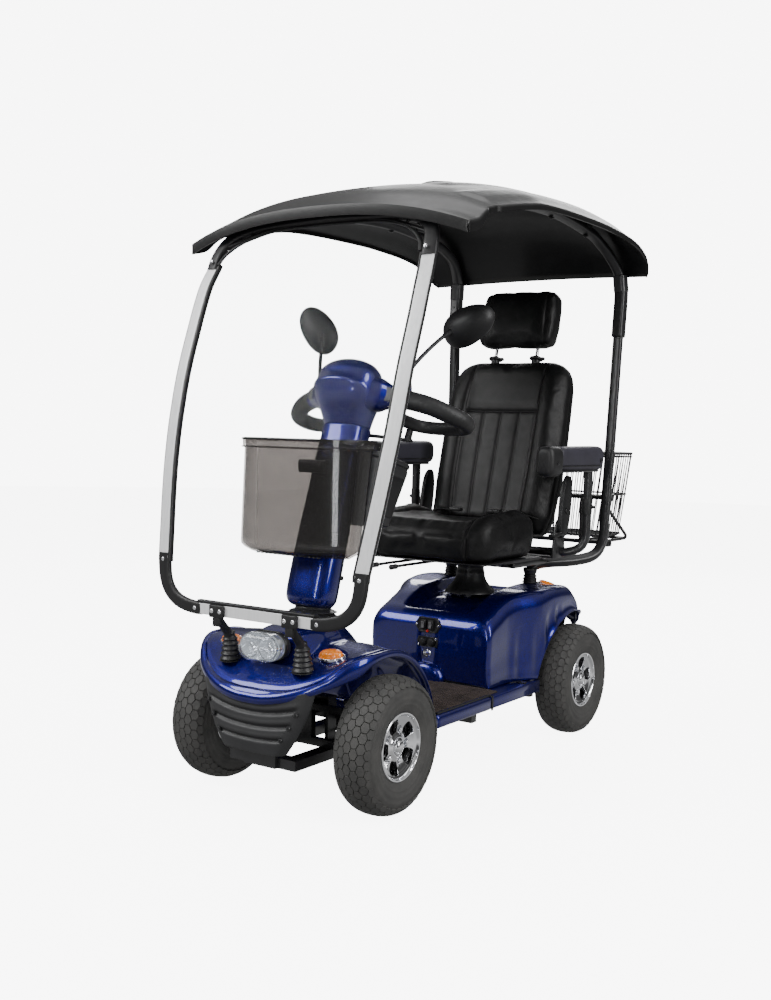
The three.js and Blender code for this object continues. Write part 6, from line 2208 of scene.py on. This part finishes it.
def rear_basket():
    """A welded wire basket: two thick rings, a middle ring, upright wires, and a floor of crossed wires."""
    wires = Part()
    for z, r in ((895, 4.8), (884, 2.4), (754, 3.2), (618, 3.2)):
        wires.tube(wire_ring(z, -r + 1.0), r, sides=10, closed=True)
    count = 74
    top, middle, low = (wire_ring(z, -3.6, count) for z in (893, 754, 618))
    floor_ring = wire_ring(612, -14, count)
    for k in range(count):
        bend = low[k] * 0.55 + floor_ring[k] * 0.45 - [0, 0, 3.6]
        wires.tube([top[k], middle[k], low[k], bend, floor_ring[k]], 2.0, sides=7, rounded=False)
    for x in np.linspace(-228, 228, 20):
        wires.tube([(x, 766, 612), (x, 939, 612)], 1.6, sides=7, rounded=False)
    for y in np.linspace(776, 930, 6):
        wires.tube([(-243, y, 615), (243, y, 615)], 1.9, sides=7, rounded=False)
    wires.build("wire_basket", "chassis", STEEL, replaces=["rear_basket"])
    carrier = Part()
    for z in (601, 750):
        carrier.tube([(x, 706, z) for x in np.linspace(-287, 287, 30)], 7, sides=18)
    for x in (-200, 200):
        carrier.tube([(x, 706, z) for z in (601, 750)], 7, sides=18)
        carrier.tube(curve([(x, 706, 601), (x, 800, 601), (x, 936, 601), (x, 944, 602)], 30), 6.5, sides=16)
        for z in (622, 754):
            carrier.tube([(x, 706, z), (x, 762, z)], 5.5, sides=14)
    for _, side in SIDES:
        strut = [(side * 268, 708, 752), (side * 268, 722, 742), (side * 266, 800, 692),
                 (side * 264, 920, 622), (side * 263, 938, 608), (side * 262, 930, 602),
                 (side * 262, 900, 601), (side * 264, 800, 601), (side * 270, 712, 601)]
        carrier.tube(curve(strut, 90), 5.5, sides=16)
        for z in (601, 750):
            carrier.block((side * 293 - 15, side * 293 + 15), (683, 716), (z - 11, z + 11), 4, 3)
            carrier.bolt((side * 309, 699, z), (side, 0, 0), 6, 4)
    carrier.tube([(x, 938, 601) for x in np.linspace(-262, 262, 24)], 5.5, sides=16)
    carrier.build("basket_rack", "chassis", STEEL, replaces=["basket_carrier"])


# ---- Running gear --------------------------------------------------------------------------------------
def coil(part, foot, top, radius, wire, turns):
    """A coil spring between two points."""
    foot, top = np.asarray(foot, float), np.asarray(top, float)
    axis = (top - foot) / np.linalg.norm(top - foot)
    side = np.cross(axis, [0, 1, 0.2])
    side /= np.linalg.norm(side)
    rise = np.cross(axis, side)
    run = np.linspace(0, 1, int(turns * 20))
    angle = run * turns * TAU
    turns = np.cos(angle)[:, None] * side + np.sin(angle)[:, None] * rise
    path = foot + run[:, None] * (top - foot) + radius * turns
    part.tube(path, wire, sides=10)


def running_gear():
    """Dampers with coil springs, and brake cables under the body."""
    for label, side in SIDES:
        damper = Part()
        spots = (((side * 152, FRONT_Y + 22, 150), (side * 132, FRONT_Y + 30, 268)),
                 ((side * 150, REAR_Y - 64, 150), (side * 150, REAR_Y - 110, 286)))
        for foot, top in spots:
            foot, top = np.array(foot, float), np.array(top, float)
            run = top - foot
            damper.tube([foot, foot + run * 0.5], 12, sides=22)
            damper.tube([foot + run * 0.45, top], 6, sides=18)
            damper.tube([foot + run * 0.10, foot + run * 0.14], 23, sides=26)
            damper.tube([foot + run * 0.90, foot + run * 0.94], 23, sides=26)
        damper.build(f"dampers_{label}", "chassis", STEEL)
        springs = Part()
        for foot, top in spots:
            foot, top = np.array(foot, float), np.array(top, float)
            coil(springs, foot + (top - foot) * 0.14, foot + (top - foot) * 0.90, 19, 3.6, 6.5)
        springs.build(f"springs_{label}", "chassis", CHROME)
        cable = Part()
        cable.tube(curve([(side * 96, 150, 176), (side * 118, 260, 160), (side * 128, 380, 172),
                          (side * 150, REAR_Y - 40, 190), (side * 176, REAR_Y - 6, 176)], 60), 3.4, sides=10)
        cable.tube(curve([(side * 60, FRONT_Y + 66, 180), (side * 110, FRONT_Y + 60, 158),
                          (side * 170, FRONT_Y + 34, 168)], 40), 3.0, sides=10)
        cable.build(f"cables_{label}", "chassis", BOOT)


def soften_frame():
    """A small bevel on the steel and alloy pieces that stay as they are."""
    for name in ("main_frame", "front_axle_beam", "transaxle", "steering_column", "knuckle_left",
                 "knuckle_right", "tie_rod", "battery_left", "battery_right"):
        obj = frame["nodes"][name]
        bevel = obj.modifiers.new("bevel", "BEVEL")
        bevel.width = 0.0016
        bevel.segments = 2
        bevel.limit_method = "ANGLE"
        bevel.angle_limit = math.radians(40)


armrests()
seat_frame()
rear_basket()
running_gear()
soften_frame()


# ---- CAD nodes that stay in view -----------------------------------------------------------------------
FINISHES = {
    "blue_paint": PAINT, "black_steel": STEEL, "black_plastic": PLASTIC, "grey_plastic": GREY,
    "tyre_rubber": TYRE, "grip_rubber": GRIP, "chrome": CHROME, "rail_aluminium": RAIL,
    "leatherette": LEATHER, "smoked_clear": SMOKE, "clear_sheet": CLEAR, "lamp_clear": LAMP_GLASS,
    "amber_lens": AMBER, "mat_rubber": MAT, "roof_plastic": ROOF, "cast_alloy": ALLOY,
}


def dress_cad_nodes():
    """Gives every CAD node the material of its slot."""
    slots = {row["node"]: row["material_slot"] for row in frame["record"]["subparts"]}
    for name, obj in frame["nodes"].items():
        obj.data.materials.clear()
        obj.data.materials.append(FINISHES[slots[name]])


dress_cad_nodes()
